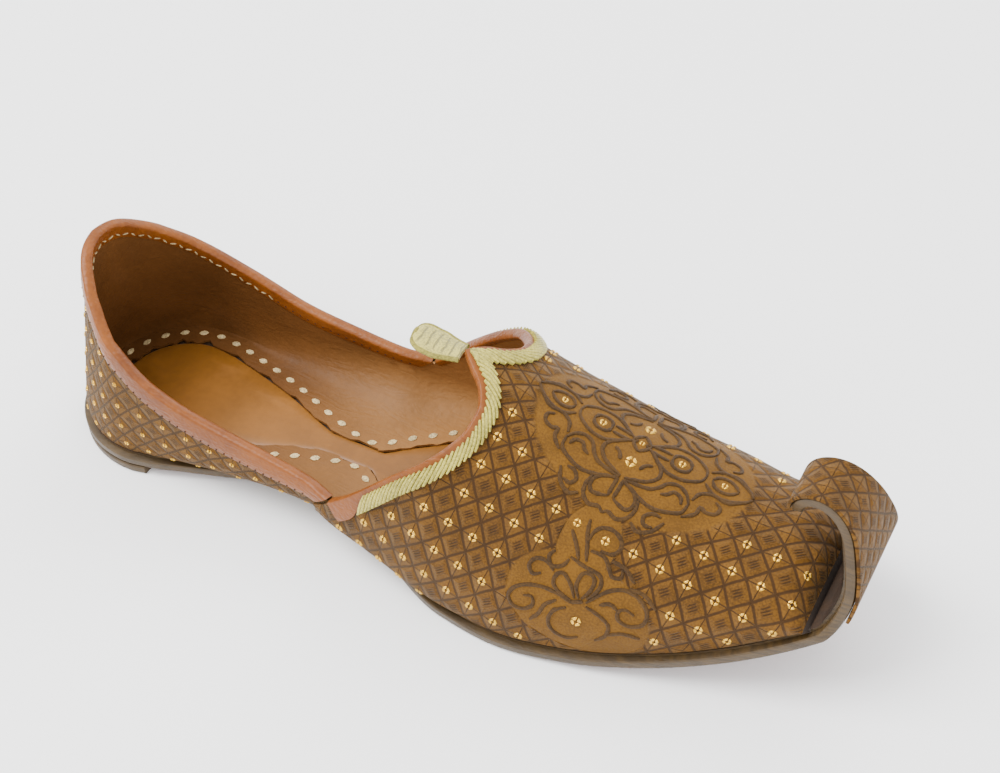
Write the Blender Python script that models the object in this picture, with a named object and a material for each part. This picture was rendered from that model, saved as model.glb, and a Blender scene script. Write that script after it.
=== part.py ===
"""A mojari: a flat shoe with a straight-lasted leather sole whose toe strip curls up and back.

The shoe points along +X, stands on z = 0 and is the same on its left and its right.
Lengths are in metres. A place along the sole is its distance from the back of the heel.
"""

import math

import bmesh
import bpy
import numpy as np
from mathutils import Matrix

# Driving sizes of the sole
SOLE_LENGTH = 0.2825
BALL_WIDTH = 0.0945
HEEL_WIDTH = 0.0674
SOLE_THICKNESS = 0.0046
SOLE_LAYER = 0.0027
SOLE_LAYER_STEP = 0.0008
EDGE_CHAMFER = 0.0006
LIFT_THICKNESS = 0.0035
LIFT_LENGTH = 0.0400
TOE_SPRING = math.radians(35.4)
CURL_LENGTH = 0.0520
FACING_THICKNESS = 0.0010

# Driving sizes of the upper
BACK_HEIGHT = 0.0730
INSTEP_HEIGHT = 0.0740
WALL = 0.0020
LAP_STEP = 0.0008
FEATHER_INSET = 0.0022
FLANGE_WIDTH = 0.0095
FLANGE_THICKNESS = 0.0016
LEAST_OPENING = 0.0045
INSOLE_THICKNESS = 0.0011

# Driving sizes of the trims
BINDING_WIDTH = 0.0052
BINDING_THICKNESS = 0.0009
THROAT_BINDING_WIDTH = 0.0030
BRAID_WIDTH = 0.0032
BRAID_HEIGHT = 0.0017
TAB_LENGTH = 0.0160
TAB_WIDTH = 0.0100
TAB_THICKNESS = 0.0018
TAB_RISE = 0.0025
BINDING_END = 0.0016
LAP_FADE = 0.0300
PULL_FADE = 0.0350
POINT_HALF_ANGLE = math.radians(42.0)
BRAID_START = 2
GAP = 0.0003

# Shares of SOLE_LENGTH: where the arch and the spring begin and end, the vamp's rear edge
# at the sole and at the collar, and the nose
ARCH_FROM = 0.176
ARCH_TO = 0.513
SPRING_FROM = 0.603
LAP_FOOT = 0.392
LAP_CORNER = 0.417
NOSE_FROM = 0.922
NOSE_END = 0.985
FACING_FROM = 1.030

# Half width of the sole: along is a share of SOLE_LENGTH, half a share of half the ball width
SOLE_OUTLINE = (
    {"along": 0.152, "half": 0.690},
    {"along": 0.251, "half": 0.517},
    {"along": 0.329, "half": 0.343},
    {"along": 0.377, "half": 0.275},
    {"along": 0.428, "half": 0.477},
    {"along": 0.487, "half": 0.716},
    {"along": 0.566, "half": 0.936},
    {"along": 0.644, "half": 1.000},
    {"along": 0.722, "half": 0.950},
    {"along": 0.801, "half": 0.845},
    {"along": 0.879, "half": 0.720},
    {"along": 0.958, "half": 0.583},
    {"along": 1.000, "half": 0.510},
)

# The strip past the toe fold: along is a share of CURL_LENGTH, turn is the strip's slope
# in degrees past the slope of the spring, half a share of half the ball width
TOE_CURL = (
    {"along": 0.00, "turn": 0, "half": 0.510},
    {"along": 0.07, "turn": 27, "half": 0.462},
    {"along": 0.22, "turn": 42, "half": 0.400},
    {"along": 0.36, "turn": 61, "half": 0.350},
    {"along": 0.46, "turn": 68, "half": 0.312},
    {"along": 0.58, "turn": 72, "half": 0.265},
    {"along": 0.70, "turn": 88, "half": 0.222},
    {"along": 0.82, "turn": 110, "half": 0.195},
    {"along": 0.89, "turn": 130, "half": 0.185},
    {"along": 1.00, "turn": 165, "half": 0.175},
)

# Round the heel: turn is degrees from the back, bulge a share of half the heel width, and
# the heights shares of BACK_HEIGHT; a power of 2 makes a straight wall, 1 a round one
HEEL_SECTIONS = (
    {"turn": 0, "bulge": 0.945, "bulge_at": 0.160, "crown": 2.516, "collar": 1.000, "power": 2.0},
    {"turn": 21, "bulge": 0.945, "bulge_at": 0.160, "crown": 2.474, "collar": 0.985, "power": 2.0},
    {"turn": 49, "bulge": 0.945, "bulge_at": 0.180, "crown": 2.347, "collar": 0.918, "power": 2.0},
    {"turn": 65, "bulge": 0.945, "bulge_at": 0.200, "crown": 2.449, "collar": 0.860, "power": 2.0},
    {"turn": 78, "bulge": 0.950, "bulge_at": 0.250, "crown": 2.148, "collar": 0.800, "power": 1.8},
    {"turn": 90, "bulge": 0.955, "bulge_at": 0.297, "crown": 1.996, "collar": 0.735, "power": 1.6},
)

# From the heel to the toe: bulge is a share of half the ball width, and the heights are
# shares of INSTEP_HEIGHT above the sole; crown is where the section closes on top
LENGTH_SECTIONS = (
    {"along": 0.120, "bulge": 0.681, "bulge_at": 0.180, "crown": 1.856, "collar": 0.610, "power": 1.6},
    {"along": 0.174, "bulge": 0.688, "bulge_at": 0.160, "crown": 2.040, "collar": 0.478, "power": 1.3},
    {"along": 0.249, "bulge": 0.684, "bulge_at": 0.170, "crown": 0.980, "collar": 0.368, "power": 1.0},
    {"along": 0.327, "bulge": 0.690, "bulge_at": 0.200, "crown": 0.720, "collar": 0.318, "power": 1.0},
    {"along": 0.377, "bulge": 0.700, "bulge_at": 0.205, "crown": 0.640, "collar": 0.292, "power": 1.0},
    {"along": 0.417, "bulge": 0.760, "bulge_at": 0.170, "crown": 0.770, "collar": 0.272, "power": 1.0},
    {"along": 0.453, "bulge": 0.805, "bulge_at": 0.150, "crown": 0.860, "collar": 0.272, "power": 1.0},
    {"along": 0.521, "bulge": 0.905, "bulge_at": 0.110, "crown": 0.925, "collar": 0.272, "power": 1.0},
    {"along": 0.537, "bulge": 0.925, "bulge_at": 0.100, "crown": 0.930, "collar": 0.272, "power": 1.0},
    {"along": 0.590, "bulge": 0.965, "bulge_at": 0.080, "crown": 0.860, "collar": 0.272, "power": 1.1},
    {"along": 0.644, "bulge": 0.980, "bulge_at": 0.080, "crown": 0.765, "collar": 0.272, "power": 1.15},
    {"along": 0.715, "bulge": 0.930, "bulge_at": 0.080, "crown": 0.655, "collar": 0.272, "power": 1.15},
    {"along": 0.777, "bulge": 0.855, "bulge_at": 0.080, "crown": 0.560, "collar": 0.272, "power": 1.1},
    {"along": 0.839, "bulge": 0.760, "bulge_at": 0.080, "crown": 0.445, "collar": 0.272, "power": 1.0},
    {"along": 0.901, "bulge": 0.650, "bulge_at": 0.080, "crown": 0.330, "collar": 0.272, "power": 1.0},
    {"along": 0.984, "bulge": 0.540, "bulge_at": 0.070, "crown": 0.230, "collar": 0.272, "power": 1.0},
)

# The throat's edge on the vamp, a lobe on each side of a point that reaches back: turn is
# degrees up the section from its widest place to its crown, along and foot are shares of
# SOLE_LENGTH at the edge and where its line starts at the sole, bend is that line's power
THROAT_EDGE = (
    {"turn": 9.8, "along": 0.417, "foot": 0.392, "bend": 1.0},
    {"turn": 18.0, "along": 0.447, "foot": 0.425, "bend": 1.2},
    {"turn": 27.0, "along": 0.477, "foot": 0.456, "bend": 1.5},
    {"turn": 35.0, "along": 0.505, "foot": 0.484, "bend": 1.5},
    {"turn": 44.0, "along": 0.539, "foot": 0.514, "bend": 1.5},
    {"turn": 52.0, "along": 0.559, "foot": 0.539, "bend": 1.5},
    {"turn": 62.0, "along": 0.574, "foot": 0.562, "bend": 2.0},
    {"turn": 70.0, "along": 0.577, "foot": 0.580, "bend": 7.0},
    {"turn": 76.0, "along": 0.572, "foot": 0.592, "bend": 7.0},
    {"turn": 80.0, "along": 0.565, "foot": 0.604, "bend": 7.0},
    {"turn": 84.0, "along": 0.553, "foot": 0.614, "bend": 7.0},
    {"turn": 90.0, "along": 0.537, "foot": 0.625, "bend": 7.0},
)

# The tab's half width along it, as shares of its length and of half its width
TAB_OUTLINE = ((0.0, 0.62), (0.25, 0.78), (0.55, 1.0), (0.85, 0.98), (0.95, 0.84), (1.0, 0.60))

# How many steps the curved surfaces are cut into
SPINE_STEPS = 1200
LOWER_STEPS = 4
UPPER_STEPS = 7
HEEL_STEPS = 9
QUARTER_STEPS = 9
VAMP_STEPS = 12
THROAT_STEPS = 22
NOSE_STEPS = 5
FINE_STEPS = 40
PEAK_LINE = HEEL_STEPS + QUARTER_STEPS + THROAT_STEPS


def column(table, key):
    return np.array([row[key] for row in table], float)


def through(table, key, at, along="along"):
    """Reads a column of a table at a place, on a smooth curve that never overshoots its rows."""
    x = column(table, along)
    y = column(table, key)
    step = np.diff(x)
    slope = np.diff(y) / step
    left, right = slope[:-1], slope[1:]
    same_way = left * right > 0
    total = np.where(same_way, left + right, 1.0)
    inner = np.where(same_way, 2.0 * left * right / total, 0.0)
    tangent = np.concatenate([slope[:1], inner, slope[-1:]])
    at = np.clip(np.asarray(at, float), x[0], x[-1])
    k = np.clip(np.searchsorted(x, at, side="right") - 1, 0, len(step) - 1)
    t = (at - x[k]) / step[k]
    rise = y[k + 1] - y[k]
    bend = tangent[k] * step[k] - rise
    back = tangent[k + 1] * step[k] - rise
    return y[k] + t * rise + t * (1 - t) * ((1 - t) * bend - t * back)


def ease(t):
    t = np.clip(t, 0.0, 1.0)
    return t * t * (3 - 2 * t)


def half_width(u):
    """Half the sole's width at a distance from the back of the heel, the strip included."""
    radius = HEEL_WIDTH / 2
    u = np.asarray(u, float)
    round_end = np.sqrt(np.clip(radius**2 - (radius - np.minimum(u, radius)) ** 2, 0, None))
    outline = through(SOLE_OUTLINE, "half", u / SOLE_LENGTH) * BALL_WIDTH / 2
    strip = through(TOE_CURL, "half", (u - SOLE_LENGTH) / CURL_LENGTH) * BALL_WIDTH / 2
    seat = SOLE_OUTLINE[0]["along"] * SOLE_LENGTH
    blend = ease((u - radius) / (seat - radius)) if seat > radius else (u > radius)
    behind = np.where(u < radius, round_end, radius + (outline - radius) * blend)
    return np.where(u > SOLE_LENGTH, strip, np.where(u < seat, behind, outline))


def make_spine():
    """The sole's underside along its middle: distance, x, z and slope at many places."""
    u = np.linspace(0, SOLE_LENGTH + CURL_LENGTH, SPINE_STEPS)
    arch = 1 - ease((u / SOLE_LENGTH - ARCH_FROM) / (ARCH_TO - ARCH_FROM))
    slope = np.arctan(np.gradient(arch * LIFT_THICKNESS, u))
    into_spring = (u / SOLE_LENGTH - SPRING_FROM) / (1 - SPRING_FROM)
    slope = slope + TOE_SPRING * np.clip(into_spring, 0, 1) ** 1.4
    slope = slope + np.radians(through(TOE_CURL, "turn", (u - SOLE_LENGTH) / CURL_LENGTH))
    middle = (slope[1:] + slope[:-1]) / 2
    run = np.diff(u)
    x = np.concatenate([[0], np.cumsum(np.cos(middle) * run)])
    z = np.concatenate([[0], np.cumsum(np.sin(middle) * run)])
    on_floor = np.interp(SPRING_FROM * SOLE_LENGTH, u, z)
    return u, x, z - on_floor, slope


SPINE_U, SPINE_X, SPINE_Z, SPINE_SLOPE = make_spine()


def on_sole(u, y, height):
    """A point a height off the sole's underside, square to it."""
    x = np.interp(u, SPINE_U, SPINE_X)
    z = np.interp(u, SPINE_U, SPINE_Z)
    slope = np.interp(u, SPINE_U, SPINE_SLOPE)
    return (float(x - math.sin(slope) * height), float(y), float(z + math.cos(slope) * height))


BED_HEIGHT = SOLE_THICKNESS + GAP
FLAT_U = SPINE_U[SPINE_U <= SOLE_LENGTH]
BED_X = np.array([on_sole(u, 0, BED_HEIGHT)[0] for u in FLAT_U])
BED_Z = np.array([on_sole(u, 0, BED_HEIGHT)[2] for u in FLAT_U])
HEEL_RADIUS = HEEL_WIDTH / 2


def bed_height(x):
    """Height of the face that the upper stands on, just over the sole."""
    return float(np.interp(x, BED_X, BED_Z))


def place_of(x):
    """Distance along the sole of a place given by its x on the bed."""
    return float(np.interp(x, BED_X, FLAT_U))


def feather_half(x):
    return float(half_width(place_of(x))) - FEATHER_INSET


def opening_half(x):
    return max(feather_half(x) - FLANGE_WIDTH, LEAST_OPENING)


def bed_x(share):
    """The x on the bed of a share of the sole's length."""
    return float(np.interp(share * SOLE_LENGTH, FLAT_U, BED_X))


def length_section(x):
    """Sizes of the cross-section at x, ahead of the heel."""
    share = place_of(x) / SOLE_LENGTH
    floor = bed_height(x)
    taken = {key: float(through(LENGTH_SECTIONS, key, share)) for key in ("bulge_at", "crown", "collar")}
    found = {key: floor + INSTEP_HEIGHT * value for key, value in taken.items()}
    found["bulge"] = float(through(LENGTH_SECTIONS, "bulge", share)) * BALL_WIDTH / 2
    found["power"] = float(through(LENGTH_SECTIONS, "power", share))
    nose = (place_of(x) / SOLE_LENGTH - NOSE_FROM) / (1.0 - NOSE_FROM)
    if nose > 0:
        found["crown"] = floor + (found["crown"] - floor) * math.sqrt(1 - min(nose, 0.9) ** 2)
    found["foot"] = feather_half(x)
    found["opening"] = opening_half(x)
    found["bulge"] = max(found["bulge"], found["foot"] + 0.0004)
    found["floor"] = floor
    return found


def heel_section(turn):
    """Sizes of the upright cross-section at an angle round the heel, in degrees from the back."""
    found = {key: BACK_HEIGHT * float(through(HEEL_SECTIONS, key, turn, "turn")) for key in ("bulge_at", "crown", "collar")}
    found["bulge"] = HEEL_RADIUS * float(through(HEEL_SECTIONS, "bulge", turn, "turn"))
    found["power"] = float(through(HEEL_SECTIONS, "power", turn, "turn"))
    found["foot"] = HEEL_RADIUS - FEATHER_INSET
    found["opening"] = found["foot"] - FLANGE_WIDTH
    found["floor"] = bed_height(HEEL_RADIUS)
    return found


def arch_point(section, turn):
    """Out and up of a place on the section, turn radians up from its widest place."""
    power = section["power"]
    out = section["bulge"] * max(math.cos(turn), 0.0) ** power
    up = section["bulge_at"] + (section["crown"] - section["bulge_at"]) * math.sin(turn) ** power
    return out, up


def over(x, turn):
    """The point of the upper's outer face at x, turn radians up the section."""
    out, up = arch_point(length_section(x), turn)
    return np.array((x, out if turn < math.pi / 2 - 1e-6 else 0.0, up))


def round_heel(degrees, out, up):
    """A profile point swung round the heel's middle, on the +Y side."""
    way = math.radians(degrees)
    return np.array((HEEL_RADIUS - out * math.cos(way), out * math.sin(way), up))


def lower_points(section, place):
    """The line's points from the feather to just under the widest place."""
    points = []
    for k in range(LOWER_STEPS):
        t = math.pi / 2 * k / LOWER_STEPS
        out = section["foot"] + (section["bulge"] - section["foot"]) * math.sin(t)
        up = section["bulge_at"] - (section["bulge_at"] - section["floor"]) * math.cos(t)
        points.append(place(out, up))
    return points


def spaced(fine, edge):
    """Points spaced along a fine line, the last two steps together the binding's width."""
    run = np.concatenate([[0], np.cumsum(np.linalg.norm(np.diff(fine, axis=0), axis=1))])
    edge = min(edge, 0.6 * run[-1])
    places = np.linspace(0, run[-1] - edge, UPPER_STEPS)
    places = np.concatenate([places, [run[-1] - edge / 2, run[-1]]])
    return [np.array([np.interp(place, run, fine[:, axis]) for axis in range(3)]) for place in places]


def reach(section):
    """How far up its section the collar is, in radians from the widest place."""
    share = (section["collar"] - section["bulge_at"]) / (section["crown"] - section["bulge_at"])
    return math.asin(min(max(share, 0.02), 1.0) ** (1 / section["power"]))


def heel_line(degrees):
    """The line of points up the heel's wall at an angle from the back."""
    section = heel_section(degrees)
    top = reach(section)
    place = lambda out, up: round_heel(degrees, out, up)
    fine = np.array([place(*arch_point(section, turn)) for turn in np.linspace(0, top, FINE_STEPS)])
    points = lower_points(section, place) + spaced(fine, BINDING_WIDTH)
    return {"outer": np.array(points), "section": section, "place": place, "part": "quarter"}


def upper_line(foot, top, turn, bend, part):
    """The line of points from foot to top, given as x, ending turn radians up the section."""
    section = length_section(foot)
    place = lambda out, up: np.array((foot, out, up))
    fine = []
    for t in np.linspace(0, 1, FINE_STEPS):
        fine.append(over(foot + (top - foot) * t**bend, turn * t))
    edge = BINDING_WIDTH if part == "quarter" else 3 * THROAT_BINDING_WIDTH
    points = lower_points(section, place) + spaced(np.array(fine), edge)
    return {"outer": np.array(points), "section": section, "place": place, "part": part}


def throat_rows():
    """The throat's rows with one between every two of the table's, on smooth curves."""
    table = [dict(row, number=k) for k, row in enumerate(THROAT_EDGE)]
    numbers = np.linspace(0, len(table) - 1, THROAT_STEPS + 1)
    keys = ("turn", "along", "foot", "bend")
    return [{key: float(through(table, key, at, "number")) for key in keys} for at in numbers]


def make_lines():
    """Every line of the upper's outer face on its +Y side, from the heel's back to the nose."""
    lines = [heel_line(90.0 * k / HEEL_STEPS) for k in range(HEEL_STEPS)]
    lap_foot, lap_top = bed_x(LAP_FOOT), bed_x(LAP_CORNER)
    for t in np.linspace(0, 1, QUARTER_STEPS):
        foot = HEEL_RADIUS + (lap_foot - HEEL_RADIUS) * t
        top = HEEL_RADIUS + (lap_top - HEEL_RADIUS) * t
        lines.append(upper_line(foot, top, reach(length_section(top)), 1.0, "quarter"))
    for row in throat_rows():
        foot, top = bed_x(row["foot"]), bed_x(row["along"])
        lines.append(upper_line(foot, top, math.radians(row["turn"]), row["bend"], "throat"))
    first = THROAT_EDGE[-1]
    nose = NOSE_FROM * BED_X[-1]
    start = bed_x(first["foot"])
    pull = start - bed_x(first["along"])
    for s in np.linspace(0, 1, VAMP_STEPS)[1:]:
        foot = start + (nose - start) * s**1.3
        fade = max(1 - (foot - start) / PULL_FADE, 0.0) ** 2
        lines.append(upper_line(foot, foot - pull * fade, math.pi / 2, first["bend"], "vamp"))
    for t in np.linspace(0, math.pi / 2, NOSE_STEPS + 1)[1:]:
        x = nose + (NOSE_END * BED_X[-1] - nose) * math.sin(t)
        lines.append(upper_line(x, x, math.pi / 2, 1.0, "vamp"))
    return lines


MIRROR = np.array((1.0, -1.0, 1.0))


def face_value(x, y, z):
    """Below, at or over zero inside, on or outside the vamp's outer face."""
    section = length_section(x)
    wide, tall = section["bulge"], section["crown"] - section["bulge_at"]
    power = 2 / section["power"]
    return (abs(y) / wide) ** power + (max(z - section["bulge_at"], 0.0) / tall) ** power - 1


def on_face(point, lift):
    """The nearest point of the vamp's outer face, raised by lift, and the outward direction."""
    point = np.array(point, float)
    step = 1e-5
    for _ in range(4):
        value = face_value(*point)
        ahead = [face_value(*(point + np.eye(3)[axis] * step)) for axis in range(3)]
        slope = (np.array(ahead) - value) / step
        if abs(point[1]) < step:
            slope[1] = 0.0
        point = point - slope * value / slope.dot(slope)
    way = slope / np.linalg.norm(slope)
    return point + way * lift, way


def line_normals(lines, k):
    """Outward directions at the points of line k, from its neighbours."""
    outer = lines[k]["outer"]
    before = lines[k - 1]["outer"] if k else lines[1]["outer"] * MIRROR
    after = lines[min(k + 1, len(lines) - 1)]["outer"]
    if lines[k]["part"] != lines[k - 1]["part"] and lines[k]["part"] == "throat":
        before = lines[k - 2]["outer"]
    if k + 1 < len(lines) and lines[k]["part"] == "quarter" and lines[k + 1]["part"] == "throat":
        after = lines[k + 2]["outer"]
    forward = after - before
    upward = np.gradient(outer, axis=0)
    if abs(outer[-1, 1]) < 1e-9 and lines[k]["part"] != "quarter":
        upward[-1] = (0.0, -1.0, 0.0)
        forward[-1, 1] = 0.0
    normals = np.cross(upward, forward)
    normals /= np.linalg.norm(normals, axis=1)[:, None]
    if lines[k]["part"] != "quarter":
        for row in range(LOWER_STEPS, len(outer)):
            normals[row] = on_face(outer[row], 0.0)[1]
    return normals


def make_walls():
    """Outer, inner and flange points of every line, with the vamp's raised rear edge."""
    lines = make_lines()
    normals = [line_normals(lines, k) for k in range(len(lines))]
    lap_foot = bed_x(LAP_FOOT)
    for line, normal in zip(lines, normals):
        section, place = line["section"], line["place"]
        raised = 0.0
        if line["part"] != "quarter":
            raised = LAP_STEP * (1 - float(ease((line["outer"][0, 0] - lap_foot) / LAP_FADE)))
        lowest = section["floor"] + FLANGE_THICKNESS
        inner = line["outer"] - normal * WALL
        inner[:, 2] = np.maximum(inner[:, 2], lowest)
        inner[:, 1] = np.maximum(inner[:, 1], 0.0)
        if abs(line["outer"][-1, 1]) < 1e-9:
            inner[-1, 1] = 0.0
        inner[0] = place(max(section["foot"] - WALL, section["opening"] + 0.001), lowest)
        line["normal"] = normal
        line["outer"] = line["outer"] + normal * raised
        line["outer"][:, 2] = np.maximum(line["outer"][:, 2], section["floor"])
        line["inner"] = inner
        line["flange"] = [place(section["opening"], section["floor"]), place(section["opening"], lowest)]
    return lines


def mesh_object(name, faces, material):
    """One object from faces given as lists of points, with points that agree made one."""
    work = bmesh.new()
    for face in faces:
        corners = [work.verts.new(point) for point in face]
        work.faces.new(corners)
    bmesh.ops.remove_doubles(work, verts=work.verts, dist=1e-7)
    bmesh.ops.dissolve_degenerate(work, dist=1e-7, edges=work.edges)
    bmesh.ops.recalc_face_normals(work, faces=work.faces)
    mesh = bpy.data.meshes.new(name)
    work.to_mesh(mesh)
    work.free()
    mesh.shade_smooth()
    mesh.set_sharp_from_angle(angle=math.radians(35))
    made = bpy.data.objects.new(name, mesh)
    bpy.context.scene.collection.objects.link(made)
    made.data.materials.append(material)
    return made


def finish(name, colour, roughness, metallic=0.0):
    material = bpy.data.materials.new(name)
    material.use_nodes = True
    shader = material.node_tree.nodes["Principled BSDF"]
    shader.inputs["Base Color"].default_value = (*colour, 1.0)
    shader.inputs["Roughness"].default_value = roughness
    shader.inputs["Metallic"].default_value = metallic
    return material


def plate(name, outline, levels, material):
    """A plate bent along the sole. outline is (along, half width) from its back to its front;
    levels are (inset, height) from its underside to its upper face."""
    outline = np.array(outline, float)
    ways = np.gradient(outline, axis=0)
    ways /= np.linalg.norm(ways, axis=1)[:, None]
    inward = np.stack([ways[:, 1], -ways[:, 0]], 1)
    if outline[0, 1] == 0:
        inward[0] = (1, 0)
    inward[-1] = (0, -1)

    def ring(k):
        near, far = [], []
        for inset, height in levels:
            u, half = outline[k] + inward[k] * inset
            half = max(half, 0.0)
            near.append(on_sole(u, -half, height))
            far.append(on_sole(u, half, height))
        return near, far

    faces = []
    rings = [ring(k) for k in range(len(outline))]
    for (near, far), (next_near, next_far) in zip(rings[:-1], rings[1:]):
        for i in range(len(levels) - 1):
            add_quad(faces, near[i], near[i + 1], next_near[i + 1], next_near[i])
            add_quad(faces, far[i + 1], far[i], next_far[i], next_far[i + 1])
        add_quad(faces, near[0], next_near[0], next_far[0], far[0])
        add_quad(faces, near[-1], far[-1], next_far[-1], next_near[-1])
    for near, far in (rings[0], rings[-1]):
        for i in range(len(levels) - 1):
            add_quad(faces, near[i], near[i + 1], far[i + 1], far[i])
    return mesh_object(name, faces, material)


def add_quad(faces, *points):
    """Adds a face without its repeated corners, and nothing if fewer than three are left."""
    kept = []
    for point in points:
        if not any(math.dist(point, other) < 1e-7 for other in kept):
            kept.append(point)
    if len(kept) > 2:
        faces.append(kept)


def outline_of(half, back, front, steps, round_back=None):
    """(along, half width) pairs from back to front, the round back end cut by angle."""
    pairs = []
    start = back
    if round_back:
        count = 9
        for k in range(count):
            t = math.pi / 2 * k / count
            pairs.append((back + round_back * (1 - math.cos(t)), round_back * math.sin(t)))
        start = back + round_back
    for u in np.linspace(start, front, steps):
        pairs.append((u, float(half(u))))
    return pairs


def make_outsole(leather):
    levels = (
        (EDGE_CHAMFER, 0.0),
        (0.0, EDGE_CHAMFER),
        (0.0, SOLE_LAYER),
        (SOLE_LAYER_STEP, SOLE_LAYER + SOLE_LAYER_STEP / 4),
        (SOLE_LAYER_STEP, SOLE_THICKNESS),
    )
    sole = outline_of(half_width, 0.0, SOLE_LENGTH, 44, HEEL_RADIUS)
    strip = outline_of(half_width, SOLE_LENGTH, SOLE_LENGTH + CURL_LENGTH, 23)
    return plate("outsole", sole + strip[1:], levels, leather)


def make_heel_lift(leather):
    levels = (
        (EDGE_CHAMFER, -LIFT_THICKNESS),
        (0.0, EDGE_CHAMFER - LIFT_THICKNESS),
        (0.0, -GAP),
    )
    outline = outline_of(half_width, 0.0, LIFT_LENGTH, 5, HEEL_RADIUS)
    return plate("heel_lift", outline, levels, leather)


def make_insole(leather):
    def half(u):
        return max(float(half_width(u)) - FEATHER_INSET - FLANGE_WIDTH, LEAST_OPENING) - GAP

    radius = HEEL_RADIUS - FEATHER_INSET - FLANGE_WIDTH - GAP
    back = HEEL_RADIUS - radius
    levels = ((0.0, BED_HEIGHT), (0.0, BED_HEIGHT + INSOLE_THICKNESS))
    front = 0.90 * SOLE_LENGTH
    outline = outline_of(half, back, front, 40, radius)
    return plate("insole", outline, levels, leather)


def make_facing(cloth):
    levels = ((0.0, -GAP - FACING_THICKNESS), (0.0, -GAP))
    back = FACING_FROM * SOLE_LENGTH
    outline = outline_of(half_width, back, SOLE_LENGTH + CURL_LENGTH, 23)
    return plate("toe_curl_facing", outline, levels, cloth)


def mirrored(point):
    return (float(point[0]), -float(point[1]), float(point[2]))


def make_upper(cloth):
    """The vamp and quarters with their inturned flange, as one hollow solid."""
    faces = []
    lines = make_walls()
    loops = [[*line["outer"][::-1], *line["flange"], *line["inner"]] for line in lines]
    closed = [line["part"] == "vamp" or k == PEAK_LINE for k, line in enumerate(lines)]
    for side in (1, -1):
        for k in range(len(lines) - 1):
            loop = [point * (1, side, 1) for point in loops[k]]
            following = [point * (1, side, 1) for point in loops[k + 1]]
            count = len(loop)
            for i in range(count):
                if i == count - 1 and closed[k] and closed[k + 1]:
                    continue
                j = (i + 1) % count
                add_quad(faces, loop[i], loop[j], following[j], following[i])
    end = lines[-1]
    hollow = [*end["flange"], *end["inner"]]
    hollow += [mirrored(p) for p in reversed(hollow) if p[1] > 1e-9]
    add_quad(faces, *hollow)
    arch = list(end["outer"])
    tip = arch[0][0] + WALL
    lift = bed_height(tip) - bed_height(arch[0][0])
    cap = [np.array((tip, y * 0.94, z + lift)) for _, y, z in arch]
    arch += [mirrored(p) for p in reversed(arch) if p[1] > 1e-9]
    cap += [mirrored(p) for p in reversed(cap) if p[1] > 1e-9]
    for i in range(len(arch) - 1):
        add_quad(faces, arch[i], arch[i + 1], cap[i + 1], cap[i])
    add_quad(faces, arch[0], cap[0], cap[-1], arch[-1], mirrored(end["flange"][0]), end["flange"][0])
    add_quad(faces, *cap)
    return mesh_object("upper", faces, cloth)


def ring_sweep(name, rings, material):
    """A solid through rings of as many points each, mirrored and joined at the middle when
    one of its ends lies on it."""
    faces = []
    for side in (1, -1):
        own = [[np.array(point) * (1, side, 1) for point in ring] for ring in rings]
        for ring, following in zip(own[:-1], own[1:]):
            for i in range(len(ring)):
                j = (i + 1) % len(ring)
                add_quad(faces, ring[i], ring[j], following[j], following[i])
        for ring in (own[0], own[-1]):
            if max(abs(point[1]) for point in ring) > 1e-6:
                add_quad(faces, *ring)
    return mesh_object(name, faces, material)


def channel(rows, out, leg, over_edge):
    """A U-shaped ring round a wall's edge. rows are the outer leg's points from its free end
    to the edge and then the inner leg's; out is outward there, over_edge away from the wall."""
    half = len(rows) // 2
    inside, outside = [], []
    for k, point in enumerate(rows):
        way = out[k]
        if k in (half - 1, half):
            inside.append(point + (way + over_edge) * GAP)
            outside.append(point + way * (GAP + leg) + over_edge * (GAP + leg * 0.55))
        else:
            inside.append(point + way * GAP)
            outside.append(point + way * (GAP + leg))
    top = (rows[half - 1] + rows[half]) / 2 + over_edge * (GAP + leg)
    return inside + outside[half:][::-1] + [top] + outside[:half][::-1]


def make_collar_binding(leather):
    rings = []
    lines = [line for line in make_walls() if line["part"] == "quarter"]
    last, before = lines[-1], lines[-2]
    share = BINDING_END / float(np.linalg.norm(last["outer"][-1] - before["outer"][-1]))
    ended = {key: last[key] * (1 - share) + before[key] * share for key in ("outer", "inner", "normal")}
    for line in lines[:-1] + [ended]:
        outer, inner, normal = line["outer"], line["inner"], line["normal"]
        rows = [outer[-3], outer[-2], outer[-1], inner[-1], inner[-2], inner[-3]]
        out = [normal[-3], normal[-2], normal[-1], -normal[-1], -normal[-2], -normal[-3]]
        away = outer[-1] - outer[-2]
        rings.append(channel(rows, out, BINDING_THICKNESS, away / np.linalg.norm(away)))
    return ring_sweep("collar_binding", rings, leather)


def throat_frames():
    """Along the throat's edge: its point, outward, away from the opening, and the raise."""
    lines = [line for line in make_walls() if line["part"] == "throat"]
    edge = [over(bed_x(row["along"]), math.radians(row["turn"])) for row in throat_rows()]
    frames = []
    for k in range(len(edge)):
        after = edge[k + 1] if k + 1 < len(edge) else edge[k - 1] * MIRROR
        before = edge[k - 1] if k else edge[0]
        way = after - before
        point, out = on_face(edge[k], 0.0)
        into = np.cross(out, way)
        into /= np.linalg.norm(into)
        if k == len(edge) - 1:
            out = np.array((out[0], 0.0, out[2])) / math.hypot(out[0], out[2])
            into = np.array((out[2], 0.0, -out[0])) / math.sin(POINT_HALF_ANGLE)
        raised = LAP_STEP * (1 - float(ease((lines[k]["outer"][0, 0] - bed_x(LAP_FOOT)) / LAP_FADE)))
        frames.append((point, out, into, raised))
    return frames


def past_corner(frames, share):
    """Drops the first frame for one moved a share of the way to the second."""
    first = tuple(a + (b - a) * share for a, b in zip(frames[0], frames[1]))
    return [first] + frames[1:]


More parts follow.
